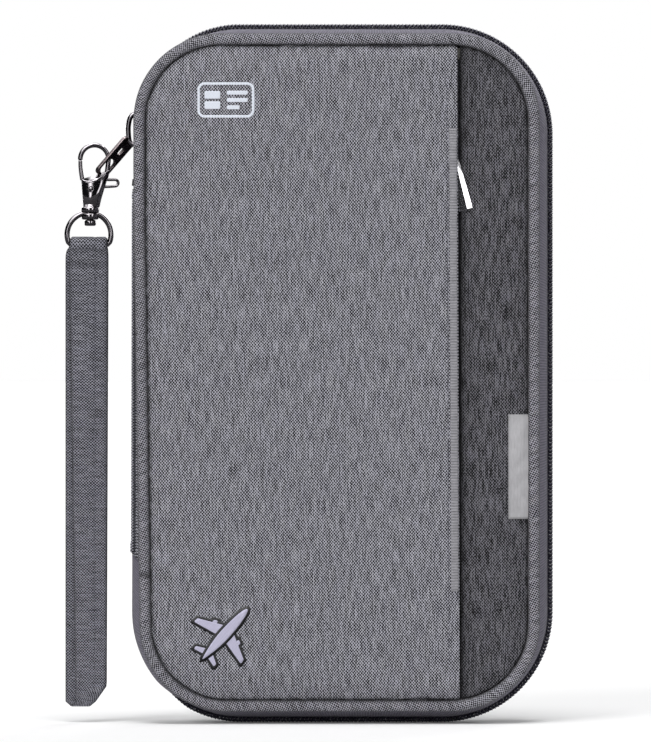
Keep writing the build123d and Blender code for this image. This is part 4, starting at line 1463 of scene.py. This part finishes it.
def plate(name, outer, holes, thickness, edge):
    """Flat plate with holes and softened edges, in its own XY plane, from outlines in millimetres."""
    data = bpy.data.curves.new(name, "CURVE")
    data.dimensions = "2D"
    data.fill_mode = "BOTH"
    for outline in [outer, *holes]:
        spline = data.splines.new("POLY")
        spline.points.add(len(outline) - 1)
        for point, (x, y) in zip(spline.points, outline):
            point.co = (x * MM, y * MM, 0, 1)
        spline.use_cyclic_u = True
    data.extrude = (thickness / 2 - edge) * MM
    data.bevel_depth = edge * MM
    data.offset = -edge * MM
    data.bevel_resolution = 2
    curve = bpy.data.objects.new(name + "_curve", data)
    bpy.context.scene.collection.objects.link(curve)
    bpy.context.view_layer.update()
    mesh = bpy.data.meshes.new_from_object(curve.evaluated_get(bpy.context.evaluated_depsgraph_get()))
    bpy.data.objects.remove(curve)
    made = bpy.data.objects.new(name, mesh)
    bpy.context.scene.collection.objects.link(made)
    return made


def oblong(x0, x1, half, radius):
    """Rounded oblong outline between x0 and x1."""
    corners = [(x0, -half), (x1, -half), (x1, half), (x0, half)]
    return rounded(corners, [radius] * 4, [(6, 1)] * 4)[0]


TAB_TILT = math.radians(50)
PIVOT = Vector((-71.7, 0, 199.0)) * MM
TAB_AHEAD = Vector((-30.6, 0, -35.4)).normalized()


def pull_tab():
    """Pull tab with a slot for the bail and an eye for the clasp."""
    across = Vector((-TAB_AHEAD.z, 0, TAB_AHEAD.x))
    wide = across * math.cos(TAB_TILT) + Vector((0, 1, 0)) * math.sin(TAB_TILT)
    normal = TAB_AHEAD.cross(wide)
    holes = [oblong(2.2, 4.8, 0.7, 0.55), oblong(7.4, 13.3, 1.95, 1.6)]
    made = plate("pull_tab_plate", oblong(-1.9, 14.5, 3.0, 1.7), holes, 1.3, 0.32)
    for vertex in made.data.vertices:
        x, y, z = vertex.co
        vertex.co = PIVOT + TAB_AHEAD * x + wide * y + normal * z
    dressed(made, TAB_METAL, "slider_pull", ["pull_tab"])


def slider_bail():
    """Flat oval wire over the slider, which the pull tab hangs from."""
    line = bent([(-67.2, 209.4), (-69.0, 209.2), (-70.5, 207.6), (-71.1, 204.6), (-71.0, 201.4),
                 (-70.5, 199.2), (-69.2, 198.3)], 6)
    ahead = np.gradient(line, axis=0)
    ahead /= np.linalg.norm(ahead, axis=1)[:, None]
    across, up = 0.9 * MM, np.array([0, 1.3 * MM, 0])
    rings = []
    for point, forward in zip(line, ahead):
        out = np.array([-forward[2], 0, forward[0]])
        rings.append([point + out * across * math.cos(a) + up * math.sin(a) for a in turns(16)])
    bail = grid("slider_bail_band", np.array(rings), False, True, caps=True)
    dressed(bail, GUNMETAL, "main_slider", ["slider_bail"])


PULL_START = np.array([39.6, 197.6])
PULL_LENGTH = 22.5
PULL_SECTION = ((-1.0, -12.85), (-1.0, -13.12), (-0.85, -13.3), (0.12, -13.32), (0.2, -13.3),
                (0.96, -12.85), (0.99, -12.8), (0.9, -12.76))  # share of its half width, and depth


def hidden_pull():
    """Tapered zip pull that hangs out from under the flap, with a wide polished bevel on its right."""
    tilt = math.radians(13)
    down = np.array([math.sin(tilt), -math.cos(tilt)])
    across = np.array([math.cos(tilt), math.sin(tilt)])
    rows = []
    for s in (-1.7, -1.4, -0.6, 2, 6, 10, 14, 18, 21.4, 22.2, PULL_LENGTH):
        at_top, at_end = s < -1.5, s == PULL_LENGTH
        half = 1.3 + 1.2 * max(0.0, s) / PULL_LENGTH
        half *= 0.75 if at_top else 0.97 if at_end else 1.0
        back = 0.1 if at_top or at_end else 0.0
        row = []
        for share, y in PULL_SECTION:
            x, z = PULL_START + down * s + across * half * share
            row.append([x * MM, (y + back) * MM, z * MM])
        rows.append(row)
    made = grid("pocket_zip_pull_plate", np.array(rows), False, True, caps=True)
    made.data.polygons.foreach_set("use_smooth", [False] * len(made.data.polygons))
    dressed(made, NICKEL, "pocket_pull", ["pocket_zip_pull"])


# ---- carried-over metal and boards ----
METAL_NODES = {
    GUNMETAL: ["slider_body", "zipper_stop"],
    NICKEL: ["pocket_zip_slider", "coin_zip_slider", "coin_zip_pull", "gate_spring"],
    BOARD: ["front_board", "back_board"],
}
EDGE_WIDTHS = {"slider_body": 0.22, "pocket_zip_slider": 0.12, "coin_zip_slider": 0.12,
               "coin_zip_pull": 0.1, "zipper_stop": 0.2}


def metal_parts():
    """Plating on the CAD's metal parts and colour on its boards, with softened edges on the metal."""
    for material, names in METAL_NODES.items():
        for name in names:
            part = NODES[name]
            part.data.materials.clear()
            part.data.materials.append(material)
            if name in EDGE_WIDTHS:
                bevel = part.modifiers.new("soft_edges", "BEVEL")
                bevel.width = EDGE_WIDTHS[name] * MM
                bevel.segments = 2
                bevel.limit_method = "ANGLE"
                bevel.angle_limit = math.radians(40)


# ---- stage ----
def sheet_at(name, half, height):
    """Flat square sheet on the stage."""
    corners = [(a * half, b * half, height) for a, b in BOX_CORNERS]
    return piece(name, corners, [[0, 1, 2, 3]], smooth=False)


def floor():
    """Plain pale floor."""
    made = sheet_at("floor", 60.0, 0.0)
    material, _, shader = surface("floor_white", Roughness=0.9, Emission_Strength=0.05)
    shader.inputs["Base Color"].default_value = (0.86, 0.86, 0.86, 1)
    shader.inputs["Emission Color"].default_value = (1, 1, 1, 1)
    made.data.materials.append(material)


def world():
    """White backdrop, even light on cloth, and a dark room with bright strips for the metal to mirror."""
    made = bpy.data.worlds.new("studio")
    bpy.context.scene.world = made
    made.use_nodes = True
    tree = made.node_tree
    split = tree.nodes.new("ShaderNodeSeparateXYZ")
    tree.links.new(add(tree, "ShaderNodeTexCoord"), split.inputs[0])

    def strip(axis, middle, half, bright):
        """Bright band across the room where a direction's X or Z is near the middle value."""
        gap = maths(tree, "ABSOLUTE", maths(tree, "SUBTRACT", split.outputs[axis], middle))
        inside = maths(tree, "SUBTRACT", 1.0, maths(tree, "DIVIDE", gap, half))
        return maths(tree, "MULTIPLY", maths(tree, "MAXIMUM", inside, 0.0), bright)

    strips = maths(tree, "ADD", strip(0, -0.24, 0.15, 7.0), strip(0, 0.52, 0.12, 7.0))
    strips = maths(tree, "ADD", strips, strip(2, 0.78, 0.22, 3.5))
    room = add(tree, "ShaderNodeCombineColor", {0: strips, 1: strips, 2: strips})
    room = mixed(tree, 1.0, room, (0.02, 0.02, 0.023, 1), "ADD")
    ray = tree.nodes.new("ShaderNodeLightPath").outputs
    lit = mixed(tree, ray["Is Glossy Ray"], (0.28, 0.28, 0.284, 1), room)
    seen = mixed(tree, ray["Is Camera Ray"], lit, (1, 1, 1, 1))
    tree.links.new(seen, tree.nodes["Background"].inputs["Color"])


def dark_card():
    """Dark card over the floor that only mirrors see, so that plated metal keeps its deep tone."""
    made = sheet_at("dark_card", 40.0, 0.0003)
    material, _, shader = surface("card_grey", Roughness=0.9)
    shader.inputs["Base Color"].default_value = (0.05, 0.05, 0.055, 1)
    made.data.materials.append(material)
    made.visible_camera = made.visible_diffuse = made.visible_shadow = made.visible_transmission = False


def soft_sun(name, direction, strength, spread):
    """Sun that shines along a direction, spread over some degrees of the sky."""
    data = bpy.data.lights.new(name, "SUN")
    data.energy = strength
    data.angle = math.radians(spread)
    made = bpy.data.objects.new(name, data)
    made.rotation_mode = "QUATERNION"
    made.rotation_quaternion = Vector(direction).to_track_quat("-Z", "Y")
    bpy.context.scene.collection.objects.link(made)


def camera():
    """Level view of the front, from far enough away that the covers and the chain keep their sizes."""
    data = bpy.data.cameras.new("camera")
    made = bpy.data.objects.new("camera", data)
    bpy.context.scene.collection.objects.link(made)
    away, frame_height = 2.0, 0.2551
    data.lens = data.sensor_width * away / frame_height
    data.dof.use_dof = False
    data.clip_end = 200
    made.location = (-3.3 * MM, -away, 120.7 * MM)
    made.rotation_euler = (math.radians(90), 0, 0)
    bpy.context.scene.camera = made


def stage():
    """Floor, backdrop, lights, camera and view settings."""
    floor()
    dark_card()
    world()
    soft_sun("key", (0.55, 0.72, -0.6), 1.12, 26)
    soft_sun("overhead", (0.0, 0.15, -1.0), 2.12, 30)
    soft_sun("rear", (-0.35, -0.8, -0.5), 0.7, 26)
    camera()
    scene = bpy.context.scene
    scene.view_settings.view_transform = "Standard"
    scene.view_settings.look = "None"
    scene.cycles.denoising_prefilter = "NONE"  # a filtered guide would smear the weave


# ---- the wallet ----
stage()
panel_front = pocket_panel()
side_front = side_panel()
back_panel()
pocket_backing()
for side, word in SIDES:
    piping(side, word)
for side, word in SIDES:
    seam_binding(side, word)
zip_chain()
spine()
strap()
panel_tree = tree_of(panel_front)
edge_trim(panel_tree)
flap_stitches(panel_tree)
badge(panel_tree)
aeroplane(panel_tree)
label(tree_of(side_front))
for side, word in SIDES:
    lining(side, word)
slip_pocket("note_pocket", FRONT, 4 * MM)
for number in range(1, 5):
    slip_pocket(f"card_slot_{number}", FRONT, 2 * MM)
slip_pocket("document_pocket", BACK, 4 * MM)
slip_pocket("passport_pocket", BACK, 4 * MM)
slip_pocket("coin_pocket", BACK, 3 * MM)
pen_loop()
small_zip("pocket_zip", "front_cover", POCKET_ZIP, 8.2 * MM, -10.75 * MM, -11.3 * MM, HIDDEN_TAPE)
small_zip("coin_zip", "back_cover", COIN_ZIP, 7.8 * MM, 6.95 * MM, 6.3 * MM, ZIP_TAPE)
casting()
clasp_pin()
gate()
swivel()
pull_tab()
slider_bail()
hidden_pull()
metal_parts()
